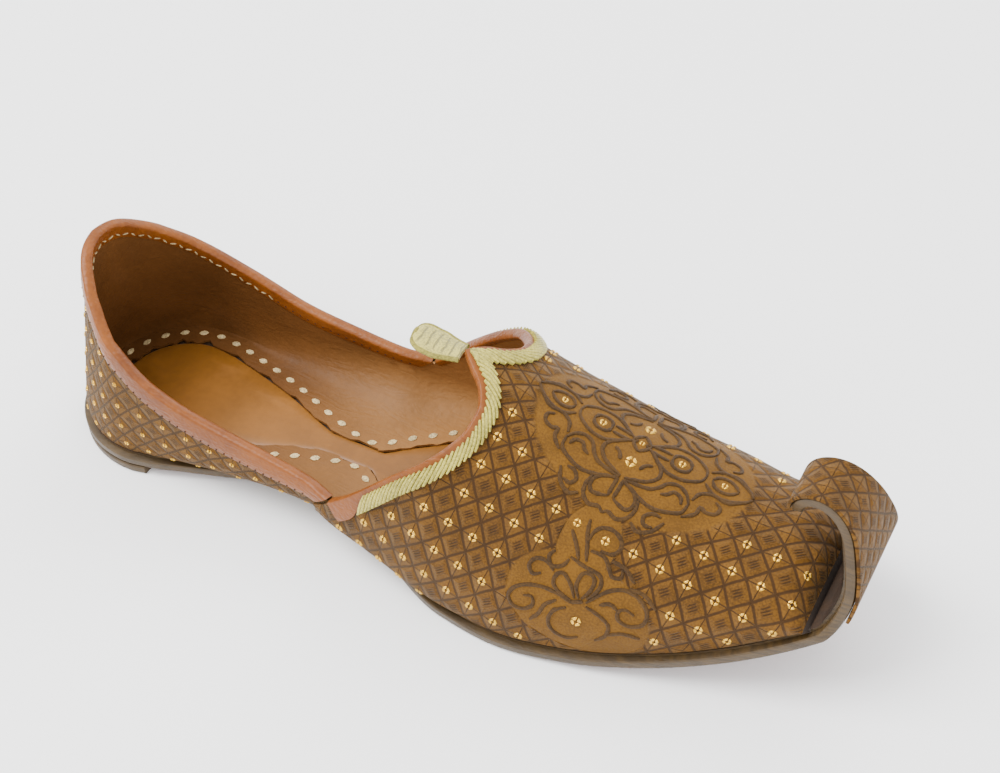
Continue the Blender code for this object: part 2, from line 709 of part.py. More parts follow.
def make_throat_binding(leather):
    rings = []
    for point, out, into, raised in past_corner(throat_frames(), 0.12):
        rows, ways = [], []
        for share in (1.0, 0.5, 0.0):
            spot, way = on_face(point + into * THROAT_BINDING_WIDTH * share, 0.0)
            rows.append(spot + way * raised)
            ways.append(way)
        for share in (0.0, 0.4, 0.75):
            spot, way = on_face(point + into * THROAT_BINDING_WIDTH * share, 0.0)
            rows.append(spot - way * WALL)
            ways.append(-way)
        rings.append(channel(rows, ways, BINDING_THICKNESS, -into / np.linalg.norm(into)))
    return ring_sweep("throat_binding", rings, leather)


def make_throat_braid(thread):
    rings = []
    for point, out, into, raised in throat_frames()[BRAID_START:]:
        ring = []
        start = THROAT_BINDING_WIDTH + GAP
        for share, height in ((0.0, 0.0), (0.5, 0.0), (1.0, 0.0), (1.0, 0.5), (0.5, 1.0), (0.0, 0.5)):
            spot = point + into * (start + BRAID_WIDTH * share)
            ring.append(on_face(spot, raised + GAP + BRAID_HEIGHT * height)[0])
        rings.append(ring)
    return ring_sweep("throat_braid", rings, thread)


def make_tab(cloth):
    """The pull tab behind the throat's point, rounded at its free end."""
    peak, out, into, _ = throat_frames()[-1]
    root = peak - np.array((BINDING_THICKNESS + 2 * GAP, 0.0, 0.0))
    outline = []
    for share, half in TAB_OUTLINE:
        outline.append((TAB_LENGTH * share, TAB_WIDTH / 2 * half))
    faces = []
    rings = []
    for along, half in outline:
        x, z = root[0] - along, root[2] + TAB_RISE * along / TAB_LENGTH
        rings.append([(x, -half, z), (x, half, z), (x, half, z - TAB_THICKNESS), (x, -half, z - TAB_THICKNESS)])
    for ring, following in zip(rings[:-1], rings[1:]):
        for i in range(4):
            add_quad(faces, ring[i], ring[(i + 1) % 4], following[(i + 1) % 4], following[i])
    add_quad(faces, *rings[0])
    add_quad(faces, *rings[-1])
    return mesh_object("throat_tab", faces, cloth)


def clear_scene():
    for made in list(bpy.data.objects):
        bpy.data.objects.remove(made, do_unlink=True)


def centre(objects):
    """Moves everything so that the origin is under the middle of the box round the shoe."""
    corners = np.array([vertex.co for made in objects for vertex in made.data.vertices])
    low, high = corners.min(axis=0), corners.max(axis=0)
    shift = Matrix.Translation((-(low[0] + high[0]) / 2, 0.0, -low[2]))
    for made in objects:
        made.data.transform(shift)


def main():
    clear_scene()
    sole_leather = finish("sole leather", (0.16, 0.05, 0.03), 0.5)
    lining_leather = finish("insole leather", (0.36, 0.19, 0.08), 0.35)
    brocade = finish("brocade", (0.30, 0.17, 0.06), 0.85)
    binding_leather = finish("binding leather", (0.45, 0.15, 0.05), 0.45)
    thread = finish("woven thread", (0.50, 0.48, 0.28), 0.6)
    objects = [
        make_outsole(sole_leather),
        make_heel_lift(sole_leather),
        make_insole(lining_leather),
        make_facing(brocade),
        make_upper(brocade),
        make_collar_binding(binding_leather),
        make_throat_binding(binding_leather),
        make_throat_braid(thread),
        make_tab(thread),
    ]
    centre(objects)


main()
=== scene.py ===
"""A mojari: brocade vamp and quarters, leather bindings, braid, tab and a curled sole.

The shoe points along +X and stands on the floor. Lengths are in metres. A place along the
sole is its distance from the back of the heel, measured on the sole as it lies flat.
"""

import math

import bmesh
import bpy
import numpy as np
from mathutils import Matrix, Vector
from mathutils.bvhtree import BVHTree


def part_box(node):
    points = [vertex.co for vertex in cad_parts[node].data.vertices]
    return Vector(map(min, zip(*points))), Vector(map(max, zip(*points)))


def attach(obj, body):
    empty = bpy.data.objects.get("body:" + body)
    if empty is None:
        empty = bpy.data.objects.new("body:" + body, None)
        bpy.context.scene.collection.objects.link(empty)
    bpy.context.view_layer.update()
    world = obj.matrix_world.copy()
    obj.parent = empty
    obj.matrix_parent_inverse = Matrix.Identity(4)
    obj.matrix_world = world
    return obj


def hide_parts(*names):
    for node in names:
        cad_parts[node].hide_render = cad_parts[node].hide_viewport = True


bl_info = {
    "name": "Mojari shoe",
    "version": (1, 0, 0),
    "blender": (4, 5, 0),
    "location": "3D View > Sidebar > Mojari",
    "description": "Builds the cloth, leather, braid and stitches of a mojari over its frame",
    "category": "Object",
}

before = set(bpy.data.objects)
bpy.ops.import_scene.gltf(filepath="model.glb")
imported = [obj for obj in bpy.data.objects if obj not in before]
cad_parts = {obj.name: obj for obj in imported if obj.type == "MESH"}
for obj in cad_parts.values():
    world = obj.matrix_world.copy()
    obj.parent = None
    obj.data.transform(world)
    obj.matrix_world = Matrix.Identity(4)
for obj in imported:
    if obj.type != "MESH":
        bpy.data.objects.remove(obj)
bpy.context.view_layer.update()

# The sole
SOLE_LENGTH = 0.2825
BALL_WIDTH = 0.0945
HEEL_WIDTH = 0.0674
HEEL_RADIUS = HEEL_WIDTH / 2
SOLE_THICKNESS = 0.0046
LIFT_THICKNESS = 0.0035
LIFT_LENGTH = 0.0400
TOE_SPRING = math.radians(35.4)
CURL_LENGTH = 0.0520
FACING_THICKNESS = 0.0010
FACING_FROM = 1.030

# The upper
BACK_HEIGHT = 0.0730
INSTEP_HEIGHT = 0.0740
WALL = 0.0020
CLOTH_THICKNESS = 0.0008
LINING_THICKNESS = 0.0010
LAP_STEP = 0.0008
LAP_UNDER = 0.0030
FEATHER_INSET = 0.0022
FLANGE_WIDTH = 0.0095
FLANGE_THICKNESS = 0.0016
LEAST_OPENING = 0.0045
INSOLE_THICKNESS = 0.0011
GAP = 0.0003

# The trims
COLLAR_WIDTH = 0.0056
COLLAR_LEG = 0.0074
THROAT_WIDTH = 0.0030
CORNER_WIDTH = 0.0066
BINDING_THICKNESS = 0.0009
BRAID_WIDTH = 0.0043
BRAID_INSET = 0.0014
SCROLL_HEIGHT = 0.00045
TAB_LENGTH = 0.0160
TAB_WIDTH = 0.0100
TAB_THICKNESS = 0.0018
TAB_RISE = 0.0025
BINDING_END = 0.0016
LAP_FADE = 0.0300
PULL_FADE = 0.0350
POINT_HALF_ANGLE = math.radians(42.0)
BRAID_START = 0.0125
BRAID_THICKNESS = 0.0010
STRAND_WIDTH = 0.00132
CORD_WIDTH = 0.0017
CORD_HEIGHT = 0.0009

# How much of the collar's inside shows stitches and not only needle holes, from the heel
STITCHED_PART = 0.55

# Where the lining's colour fades from the heel's to the front's along the shoe: painted shade deep in
# the heel
HEEL_SHADE_FROM = -0.085
HEEL_SHADE_TO = 0.005

# Shares of SOLE_LENGTH
ARCH_FROM = 0.176
ARCH_TO = 0.513
SPRING_FROM = 0.603
LAP_FOOT = 0.392
LAP_CORNER = 0.417
NOSE_FROM = 0.922
NOSE_END = 0.988


def chart(names, *rows):
    """Rows of numbers, each number under its column's name."""
    return tuple(dict(zip(names.split(), row)) for row in rows)


# Half width of the sole: along is a share of SOLE_LENGTH, half a share of half the ball width
SOLE_OUTLINE = chart(
    "along half",
    (0.152, 0.690),
    (0.251, 0.517),
    (0.329, 0.343),
    (0.377, 0.275),
    (0.428, 0.477),
    (0.487, 0.716),
    (0.566, 0.936),
    (0.644, 1.000),
    (0.722, 0.950),
    (0.801, 0.845),
    (0.879, 0.720),
    (0.958, 0.583),
    (1.000, 0.510),
)

# The strip past the toe fold: along is a share of CURL_LENGTH, turn is its slope in degrees
# past the slope of the spring, half a share of half the ball width
TOE_CURL = chart(
    "along turn half",
    (0.00, 0, 0.510),
    (0.07, 27, 0.462),
    (0.22, 42, 0.400),
    (0.36, 61, 0.350),
    (0.46, 68, 0.312),
    (0.58, 72, 0.265),
    (0.70, 88, 0.222),
    (0.82, 110, 0.195),
    (0.89, 130, 0.185),
    (1.00, 165, 0.175),
    (1.10, 200, 0.168),
    (1.20, 240, 0.150),
)
ROLLED_LENGTH = TOE_CURL[-1]["along"] * CURL_LENGTH

# Round the heel: turn is degrees from the back, bulge a share of half the heel width, and
# the heights shares of BACK_HEIGHT; a power of 2 makes a straight wall, 1 a round one
HEEL_SECTIONS = chart(
    "turn bulge bulge_at crown collar power",
    (0, 0.945, 0.160, 2.516, 1.000, 2.0),
    (21, 0.945, 0.160, 2.474, 0.985, 2.0),
    (49, 0.945, 0.180, 2.347, 0.918, 2.0),
    (65, 0.945, 0.200, 2.449, 0.860, 2.0),
    (78, 0.950, 0.250, 2.148, 0.800, 1.8),
    (90, 0.955, 0.297, 1.996, 0.735, 1.6),
)

# From the heel to the toe: bulge is a share of half the ball width, and the heights are
# shares of INSTEP_HEIGHT above the sole; crown is where the section closes on top
LENGTH_SECTIONS = chart(
    "along bulge bulge_at crown collar power",
    (0.120, 0.681, 0.180, 1.856, 0.610, 1.6),
    (0.174, 0.688, 0.160, 2.040, 0.478, 1.3),
    (0.249, 0.684, 0.170, 0.980, 0.368, 1.0),
    (0.327, 0.690, 0.200, 0.720, 0.318, 1.0),
    (0.377, 0.700, 0.205, 0.640, 0.292, 1.0),
    (0.417, 0.760, 0.170, 0.770, 0.272, 1.0),
    (0.453, 0.805, 0.150, 0.860, 0.272, 1.0),
    (0.521, 0.905, 0.110, 0.925, 0.272, 1.0),
    (0.537, 0.925, 0.100, 0.930, 0.272, 1.0),
    (0.590, 0.965, 0.080, 0.860, 0.272, 1.1),
    (0.644, 0.980, 0.080, 0.765, 0.272, 1.15),
    (0.715, 0.930, 0.080, 0.655, 0.272, 1.15),
    (0.777, 0.855, 0.080, 0.560, 0.272, 1.1),
    (0.839, 0.760, 0.080, 0.445, 0.272, 1.0),
    (0.901, 0.650, 0.080, 0.330, 0.272, 1.0),
    (0.984, 0.540, 0.070, 0.230, 0.272, 1.0),
)

# The throat's edge on the vamp: turn is degrees up the section from its widest place, along
# and foot are shares of SOLE_LENGTH at the edge and at the sole, bend is that line's power
THROAT_EDGE = chart(
    "turn along foot bend",
    (9.8, 0.417, 0.392, 1.0),
    (18.0, 0.447, 0.425, 1.2),
    (27.0, 0.477, 0.456, 1.5),
    (35.0, 0.505, 0.484, 1.5),
    (44.0, 0.539, 0.514, 1.5),
    (52.0, 0.559, 0.539, 1.5),
    (62.0, 0.574, 0.562, 2.0),
    (70.0, 0.577, 0.580, 7.0),
    (76.0, 0.572, 0.592, 7.0),
    (80.0, 0.565, 0.604, 7.0),
    (84.0, 0.553, 0.614, 7.0),
    (90.0, 0.537, 0.625, 7.0),
)

# The tab's half width along it, as shares of its length and of half its width
TAB_OUTLINE = chart(
    "along half",
    (0.00, 0.62),
    (0.25, 0.78),
    (0.55, 1.00),
    (0.80, 1.00),
    (0.92, 0.86),
    (0.98, 0.62),
    (1.00, 0.36),
)

# How many steps the surfaces are cut into
SPINE_STEPS = 1600
SECTION_STEPS = 900
LOWER_STEPS = 7
UPPER_STEPS = 20
HEEL_STEPS = 26
QUARTER_STEPS = 30
VAMP_STEPS = 46
THROAT_STEPS = 66
NOSE_STEPS = 12
FINE_STEPS = 60
CURL_STEPS = 72

# Lines at the nose, ahead of where the lining ends
UNLINED_LINES = 8

# The vamp's pattern, in millimetres of the flat cloth: its middle line off the shoe's, the
# first crossed cell ahead of the throat's point, and the rows' height, which grows outward
MIDDLE_LINE = 4.4
FIRST_CELL = 3.9
ROW_HEIGHT = 5.4
ROW_GROWTH = 0.51
MEDALLION_AT = 61.3

# The rows and steps of crossed cells that are tried for a sequin
VAMP_ROWS = range(2, 12)
VAMP_STEPS_ALONG = range(-8, 16)
QUARTER_ROWS = range(8)
QUARTER_STEPS_ALONG = range(-16, 17)

# How near the cloth, in metres, a flat place has to be to lie on it
TOUCHING = 1e-6

# The cloth that a whole sequin needs behind, ahead and outside of it, in millimetres
SEQUIN_ROOM = ((-7.5, 0.0), (2.5, 0.0), (0.0, 3.0))

# The power of the scroll patches' outline: 2 makes an ellipse, more a squarer one
PATCH_POWER = 2.2

# The quarters' first row of crossed cells above the sole
FIRST_ROW = 0.0040

MIRROR = np.array((1.0, -1.0, 1.0))
MILLIMETRE = 0.001


# --- shapes that the whole shoe shares ---


def column(table, key):
    return np.array([row[key] for row in table], float)


def through(table, key, at, along="along"):
    """Reads a column of a table at a place, on a smooth curve that never overshoots its rows."""
    x = column(table, along)
    y = column(table, key)
    step = np.diff(x)
    slope = np.diff(y) / step
    left, right = slope[:-1], slope[1:]
    same_way = left * right > 0
    total = np.where(same_way, left + right, 1.0)
    inner = np.where(same_way, 2.0 * left * right / total, 0.0)
    tangent = np.concatenate([slope[:1], inner, slope[-1:]])
    at = np.clip(np.asarray(at, float), x[0], x[-1])
    k = np.clip(np.searchsorted(x, at, side="right") - 1, 0, len(step) - 1)
    t = (at - x[k]) / step[k]
    rise = y[k + 1] - y[k]
    bend = tangent[k] * step[k] - rise
    back = tangent[k + 1] * step[k] - rise
    return y[k] + t * rise + t * (1 - t) * ((1 - t) * bend - t * back)


def ease(t):
    t = np.clip(t, 0.0, 1.0)
    return t * t * (3 - 2 * t)


def unit(vector):
    vector = np.asarray(vector, float)
    return vector / max(float(np.linalg.norm(vector)), 1e-12)


def run_along(points):
    """The distance to each point along a line of points."""
    return np.concatenate([[0], np.cumsum(np.linalg.norm(np.diff(points, axis=0), axis=1))])


def read_along(place, run, points):
    """The values at a distance along a line of points."""
    return np.array([np.interp(place, run, values) for values in points.T])


def half_width(u):
    """Half the sole's width at a distance from the back of the heel, the strip included."""
    radius = HEEL_RADIUS
    u = np.asarray(u, float)
    round_end = np.sqrt(np.clip(radius**2 - (radius - np.minimum(u, radius)) ** 2, 0, None))
    outline = through(SOLE_OUTLINE, "half", u / SOLE_LENGTH) * BALL_WIDTH / 2
    strip = through(TOE_CURL, "half", (u - SOLE_LENGTH) / CURL_LENGTH) * BALL_WIDTH / 2
    seat = SOLE_OUTLINE[0]["along"] * SOLE_LENGTH
    blend = ease((u - radius) / (seat - radius))
    behind = np.where(u < radius, round_end, radius + (outline - radius) * blend)
    return np.where(u > SOLE_LENGTH, strip, np.where(u < seat, behind, outline))


def make_spine():
    """The sole's underside along its middle: distance, x, z and slope at many places."""
    u = np.linspace(0, SOLE_LENGTH + ROLLED_LENGTH, SPINE_STEPS)
    arch = 1 - ease((u / SOLE_LENGTH - ARCH_FROM) / (ARCH_TO - ARCH_FROM))
    slope = np.arctan(np.gradient(arch * LIFT_THICKNESS, u))
    into_spring = (u / SOLE_LENGTH - SPRING_FROM) / (1 - SPRING_FROM)
    slope = slope + TOE_SPRING * np.clip(into_spring, 0, 1) ** 1.4
    slope = slope + np.radians(through(TOE_CURL, "turn", (u - SOLE_LENGTH) / CURL_LENGTH))
    middle = (slope[1:] + slope[:-1]) / 2
    run = np.diff(u)
    x = np.concatenate([[0], np.cumsum(np.cos(middle) * run)])
    z = np.concatenate([[0], np.cumsum(np.sin(middle) * run)])
    on_floor = np.interp(SPRING_FROM * SOLE_LENGTH, u, z)
    lift_low = z[0] - on_floor - LIFT_THICKNESS
    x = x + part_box("outsole")[0].x
    z = z - on_floor - lift_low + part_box("heel_lift")[0].z
    return u, x, z, slope


SPINE_U, SPINE_X, SPINE_Z, SPINE_SLOPE = make_spine()
HEEL_BACK = float(SPINE_X[0])


def on_sole(u, y, height):
    """A point a height off the sole's underside, square to it."""
    x = np.interp(u, SPINE_U, SPINE_X)
    z = np.interp(u, SPINE_U, SPINE_Z)
    slope = np.interp(u, SPINE_U, SPINE_SLOPE)
    return np.array((x - math.sin(slope) * height, y, z + math.cos(slope) * height))


BED_HEIGHT = SOLE_THICKNESS + GAP
FLAT_U = SPINE_U[SPINE_U <= SOLE_LENGTH]
BED_X = np.array([on_sole(u, 0, BED_HEIGHT)[0] for u in FLAT_U])
BED_Z = np.array([on_sole(u, 0, BED_HEIGHT)[2] for u in FLAT_U])
HEEL_MIDDLE = HEEL_BACK + HEEL_RADIUS
NOSE_X = HEEL_BACK + NOSE_FROM * (BED_X[-1] - HEEL_BACK)
NOSE_TIP_X = HEEL_BACK + NOSE_END * (BED_X[-1] - HEEL_BACK)


def bed_height(x):
    """Height of the face that the upper stands on, just over the sole."""
    return float(np.interp(x, BED_X, BED_Z))


def bed_x(share):
    """The x on the bed of a share of the sole's length."""
    return float(np.interp(share * SOLE_LENGTH, FLAT_U, BED_X))


def make_sections():
    """The upper's cross-section sizes at many places ahead of the heel's middle."""
    x = np.linspace(HEEL_MIDDLE - 0.004, BED_X[-1] + 0.004, SECTION_STEPS)
    u = np.interp(x, BED_X, FLAT_U)
    share = u / SOLE_LENGTH
    floor = np.interp(x, BED_X, BED_Z)
    found = {"x": x, "floor": floor}
    for key in ("bulge_at", "crown", "collar"):
        found[key] = floor + INSTEP_HEIGHT * through(LENGTH_SECTIONS, key, share)
    nose = np.clip((x - NOSE_X) / (NOSE_TIP_X - NOSE_X), 0, 0.985)
    found["crown"] = floor + (found["crown"] - floor) * (1 - nose**2.6) ** 0.5
    found["foot"] = half_width(u) - FEATHER_INSET
    found["opening"] = np.maximum(found["foot"] - FLANGE_WIDTH, LEAST_OPENING)
    bulge = through(LENGTH_SECTIONS, "bulge", share) * BALL_WIDTH / 2
    found["bulge"] = np.maximum(bulge, found["foot"] + 0.0004)
    found["power"] = through(LENGTH_SECTIONS, "power", share)
    found["bulge_at"] = np.minimum(found["bulge_at"], (found["crown"] + floor * 2) / 3)
    return found


SECTIONS = make_sections()


def length_section(x):
    """Sizes of the cross-section at x, ahead of the heel."""
    return {key: float(np.interp(x, SECTIONS["x"], row)) for key, row in SECTIONS.items()}


def heel_section(turn):
    """Sizes of the upright cross-section at an angle round the heel, in degrees from the back."""
    base = BED_Z[0] - BED_HEIGHT - LIFT_THICKNESS
    found = {}
    for key in ("bulge_at", "crown", "collar"):
        found[key] = base + BACK_HEIGHT * float(through(HEEL_SECTIONS, key, turn, "turn"))
    found["bulge"] = HEEL_RADIUS * float(through(HEEL_SECTIONS, "bulge", turn, "turn"))
    found["power"] = float(through(HEEL_SECTIONS, "power", turn, "turn"))
    found["foot"] = HEEL_RADIUS - FEATHER_INSET
    found["opening"] = found["foot"] - FLANGE_WIDTH
    found["floor"] = bed_height(HEEL_MIDDLE)
    return found


def arch_point(section, turn):
    """Out and up of a place on the section, turn radians up from its widest place."""
    power = section["power"]
    out = section["bulge"] * max(math.cos(turn), 0.0) ** power
    up = section["bulge_at"] + (section["crown"] - section["bulge_at"]) * math.sin(turn) ** power
    return out, up


def over(x, turn):
    """The point of the upper's outer face at x, turn radians up the section."""
    out, up = arch_point(length_section(x), turn)
    return np.array((x, out if turn < math.pi / 2 - 1e-6 else 0.0, up))


def round_heel(degrees, out, up):
    """A profile point swung round the heel's middle, on the +Y side."""
    way = math.radians(degrees)
    return np.array((HEEL_MIDDLE - out * math.cos(way), out * math.sin(way), up))


def lower_points(section, place):
    """The line's points from the feather to just under the widest place."""
    points = []
    for k in range(LOWER_STEPS):
        t = math.pi / 2 * k / LOWER_STEPS
        out = section["foot"] + (section["bulge"] - section["foot"]) * math.sin(t)
        up = section["bulge_at"] - (section["bulge_at"] - section["floor"]) * math.cos(t)
        points.append(place(out, up))
    return points


def spaced(fine, count):
    """Points spaced evenly along a fine line."""
    run = run_along(fine)
    return [read_along(place, run, fine) for place in np.linspace(0, run[-1], count)]


def reach(section):
    """How far up its section the collar is, in radians from the widest place."""
    share = (section["collar"] - section["bulge_at"]) / (section["crown"] - section["bulge_at"])
    return math.asin(min(max(share, 0.02), 1.0) ** (1 / section["power"]))


def heel_line(degrees):
    """The line of points up the heel's wall at an angle from the back."""
    section = heel_section(degrees)
    top = reach(section)
    place = lambda out, up: round_heel(degrees, out, up)
    fine = np.array([place(*arch_point(section, turn)) for turn in np.linspace(0, top, FINE_STEPS)])
    points = lower_points(section, place) + spaced(fine, UPPER_STEPS)
    return {"outer": np.array(points), "section": section, "place": place, "part": "quarter"}


def upper_line(foot, top, turn, bend, part):
    """The line of points from foot to top, given as x, ending turn radians up the section."""
    section = length_section(foot)
    place = lambda out, up: np.array((foot, out, up))
    fine = [over(foot + (top - foot) * t**bend, turn * t) for t in np.linspace(0, 1, FINE_STEPS)]
    points = lower_points(section, place) + spaced(np.array(fine), UPPER_STEPS)
    return {"outer": np.array(points), "section": section, "place": place, "part": part}


def throat_rows():
    """The throat's rows with some between every two of the table's, on smooth curves."""
    table = [dict(row, number=k) for k, row in enumerate(THROAT_EDGE)]
    numbers = np.linspace(0, len(table) - 1, THROAT_STEPS + 1)
    keys = ("turn", "along", "foot", "bend")
    return [{key: float(through(table, key, at, "number")) for key in keys} for at in numbers]


def make_lines():
    """Every line of the upper's outer face on its +Y side, from the heel's back to the nose."""
    lines = [heel_line(90.0 * k / HEEL_STEPS) for k in range(HEEL_STEPS)]
    lap_foot, lap_top = bed_x(LAP_FOOT), bed_x(LAP_CORNER)
    for t in np.linspace(0, 1, QUARTER_STEPS):
        foot = HEEL_MIDDLE + (lap_foot - HEEL_MIDDLE) * t
        top = HEEL_MIDDLE + (lap_top - HEEL_MIDDLE) * t
        lines.append(upper_line(foot, top, reach(length_section(top)), 1.0, "quarter"))
    for row in throat_rows():
        foot, top = bed_x(row["foot"]), bed_x(row["along"])
        lines.append(upper_line(foot, top, math.radians(row["turn"]), row["bend"], "throat"))
    first = THROAT_EDGE[-1]
    start = bed_x(first["foot"])
    pull = start - bed_x(first["along"])
    for s in np.linspace(0, 1, VAMP_STEPS)[1:]:
        foot = start + (NOSE_X - start) * s**1.3
        fade = max(1 - (foot - start) / PULL_FADE, 0.0) ** 2
        lines.append(upper_line(foot, foot - pull * fade, math.pi / 2, first["bend"], "vamp"))
    for t in np.linspace(0, math.pi / 2, NOSE_STEPS + 1)[1:]:
        x = NOSE_X + (NOSE_TIP_X - NOSE_X) * math.sin(t)
        lines.append(upper_line(x, x, math.pi / 2, 1.0, "vamp"))
    return lines


def face_value(x, y, z):
    """Below, at or over zero inside, on or outside the vamp's outer face."""
    section = length_section(x)
    wide, tall = section["bulge"], section["crown"] - section["bulge_at"]
    power = 2 / section["power"]
    return (abs(y) / wide) ** power + (max(z - section["bulge_at"], 0.0) / tall) ** power - 1


def on_face(point, lift):
    """The nearest point of the vamp's outer face, raised by lift, and the outward direction."""
    point = np.array(point, float)
    step = 1e-5
    for _ in range(4):
        value = face_value(*point)
        ahead = [face_value(*(point + np.eye(3)[axis] * step)) for axis in range(3)]
        slope = (np.array(ahead) - value) / step
        if abs(point[1]) < step:
            slope[1] = 0.0
        point = point - slope * value / slope.dot(slope)
    way = slope / np.linalg.norm(slope)
    return point + way * lift, way


def line_normals(lines, k):
    """Outward directions at the points of line k, from its neighbours."""
    outer = lines[k]["outer"]
    before = lines[k - 1]["outer"] if k else lines[1]["outer"] * MIRROR
    after = lines[min(k + 1, len(lines) - 1)]["outer"]
    if lines[k]["part"] != lines[k - 1]["part"] and lines[k]["part"] == "throat":
        before = lines[k - 2]["outer"]
    if k + 1 < len(lines) and lines[k]["part"] == "quarter" and lines[k + 1]["part"] == "throat":
        after = lines[k + 2]["outer"]
    forward = after - before
    upward = np.gradient(outer, axis=0)
    if abs(outer[-1, 1]) < 1e-9 and lines[k]["part"] != "quarter":
        upward[-1] = (0.0, -1.0, 0.0)
        forward[-1, 1] = 0.0
    normals = np.cross(upward, forward)
    normals /= np.linalg.norm(normals, axis=1)[:, None]
    if lines[k]["part"] != "quarter":
        for row in range(LOWER_STEPS, len(outer)):
            normals[row] = on_face(outer[row], 0.0)[1]
    return normals


def part_lines(part):
    """The lines of one part of the upper."""
    return [line for line in LINES if line["part"] == part]


def make_walls():
    """Base, raised, outward and inner points of every line, with the vamp's raised rear edge."""
    lines = make_lines()
    normals = [line_normals(lines, k) for k in range(len(lines))]
    lap_foot = bed_x(LAP_FOOT)
    for line, normal in zip(lines, normals):
        section, place = line["section"], line["place"]
        raised = 0.0
        if line["part"] != "quarter":
            raised = LAP_STEP * (1 - float(ease((line["outer"][0, 0] - lap_foot) / LAP_FADE)))
        lowest = section["floor"] + FLANGE_THICKNESS
        inner = line["outer"] - normal * WALL
        inner[:, 2] = np.maximum(inner[:, 2], lowest)
        inner[:, 1] = np.maximum(inner[:, 1], 0.0)
        if abs(line["outer"][-1, 1]) < 1e-9:
            inner[-1, 1] = 0.0
        inner[0] = place(max(section["foot"] - WALL, section["opening"] + 0.001), lowest)
        line["normal"] = normal
        line["base"] = line["outer"]
        line["outer"] = line["outer"] + normal * raised
        line["outer"][:, 2] = np.maximum(line["outer"][:, 2], section["floor"])
        line["raised"] = raised
        line["inner"] = inner
    return lines


LINES = make_walls()


# --- making meshes ---


def new_piece(mesh, replaces=(), materials=()):
    """An object for the mesh that rides on the shoe and stands for the named solids."""
    for material in materials:
        mesh.materials.append(material)
    made = bpy.data.objects.new(mesh.name, mesh)
    bpy.context.scene.collection.objects.link(made)
    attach(made, "root")
    if replaces:
        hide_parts(*replaces)
    return made


def soften(mesh, sharp):
    mesh.shade_smooth()
    mesh.set_sharp_from_angle(angle=math.radians(sharp))


def mesh_of(name, faces, sharp, kinds=None):
    """A mesh from faces given as lists of points, with points that agree made one. kinds
    gives each face its material's number."""
    work = bmesh.new()
    for k, face in enumerate(faces):
        made = work.faces.new([work.verts.new(point) for point in face])
        made.material_index = kinds[k] if kinds else 0
    bmesh.ops.remove_doubles(work, verts=work.verts, dist=1e-7)
    bmesh.ops.dissolve_degenerate(work, dist=1e-7, edges=work.edges)
    bmesh.ops.recalc_face_normals(work, faces=work.faces)
    mesh = bpy.data.meshes.new(name)
    work.to_mesh(mesh)
    work.free()
    soften(mesh, sharp)
    return mesh


def face_outward(mesh, middle=(0.0, 0.0, 0.02)):
    """Turns the faces of an open shell away from the shoe's middle."""
    lean = sum(face.area * face.normal.dot(face.center - Vector(middle)) for face in mesh.polygons)
    if lean < 0:
        mesh.flip_normals()


def add_quad(faces, *points):
    """Adds a face without its repeated corners, and nothing if fewer than three are left."""
    kept = []
    for point in points:
        if not any(math.dist(point, other) < 1e-7 for other in kept):
            kept.append(point)
    if len(kept) > 2:
        faces.append(kept)
        return True
    return False


def add_strips(faces, rows):
    """Adds the faces between neighbouring rows of points."""
    for first, second in zip(rows[:-1], rows[1:]):
        for i in range(len(first) - 1):
            add_quad(faces, first[i], first[i + 1], second[i + 1], second[i])


def walls_between(rings):
    """The faces between closed rings of as many points each."""
    faces = []
    for ring, following in zip(rings[:-1], rings[1:]):
        for i in range(len(ring)):
            j = (i + 1) % len(ring)
            faces.append([ring[i], ring[j], following[j], following[i]])
    return faces


def with_mirror(faces):
    """The faces and their mirror image on the shoe's other side."""
    return faces + [[point * MIRROR for point in face[::-1]] for face in faces]


def grid_mesh(name, points, flat):
    """A mesh through a grid of points, whose UVs are the flat places given for them."""
    points, flat = np.asarray(points, float), np.asarray(flat, float)
    rows, columns = points.shape[:2]
    quads = []
    for r in range(rows - 1):
        for c in range(columns - 1):
            k = r * columns + c
            quads.append((k, k + 1, k + columns + 1, k + columns))
    mesh = bpy.data.meshes.new(name)
    mesh.from_pydata(points.reshape(-1, 3).tolist(), [], quads)
    layer = mesh.uv_layers.new(name="Flat")
    places = flat.reshape(-1, 2)
    for loop in mesh.loops:
        layer.data[loop.index].uv = places[loop.vertex_index]
    soften(mesh, 40)
    return mesh


def thicken(made, thickness, offset=-1.0):
    """Gives an open surface its thickness and bakes it into the mesh."""
    solid = made.modifiers.new("thickness", "SOLIDIFY")
    solid.thickness = thickness
    solid.offset = offset
    solid.use_even_offset = False
    solid.use_rim = True
    bake_modifiers(made)


def bake_modifiers(made):
    evaluated = made.evaluated_get(bpy.context.evaluated_depsgraph_get())
    mesh = bpy.data.meshes.new_from_object(evaluated)
    old = made.data
    made.modifiers.clear()
    made.data = mesh
    bpy.data.meshes.remove(old)
    mesh.name = made.name
    soften(mesh, 50)


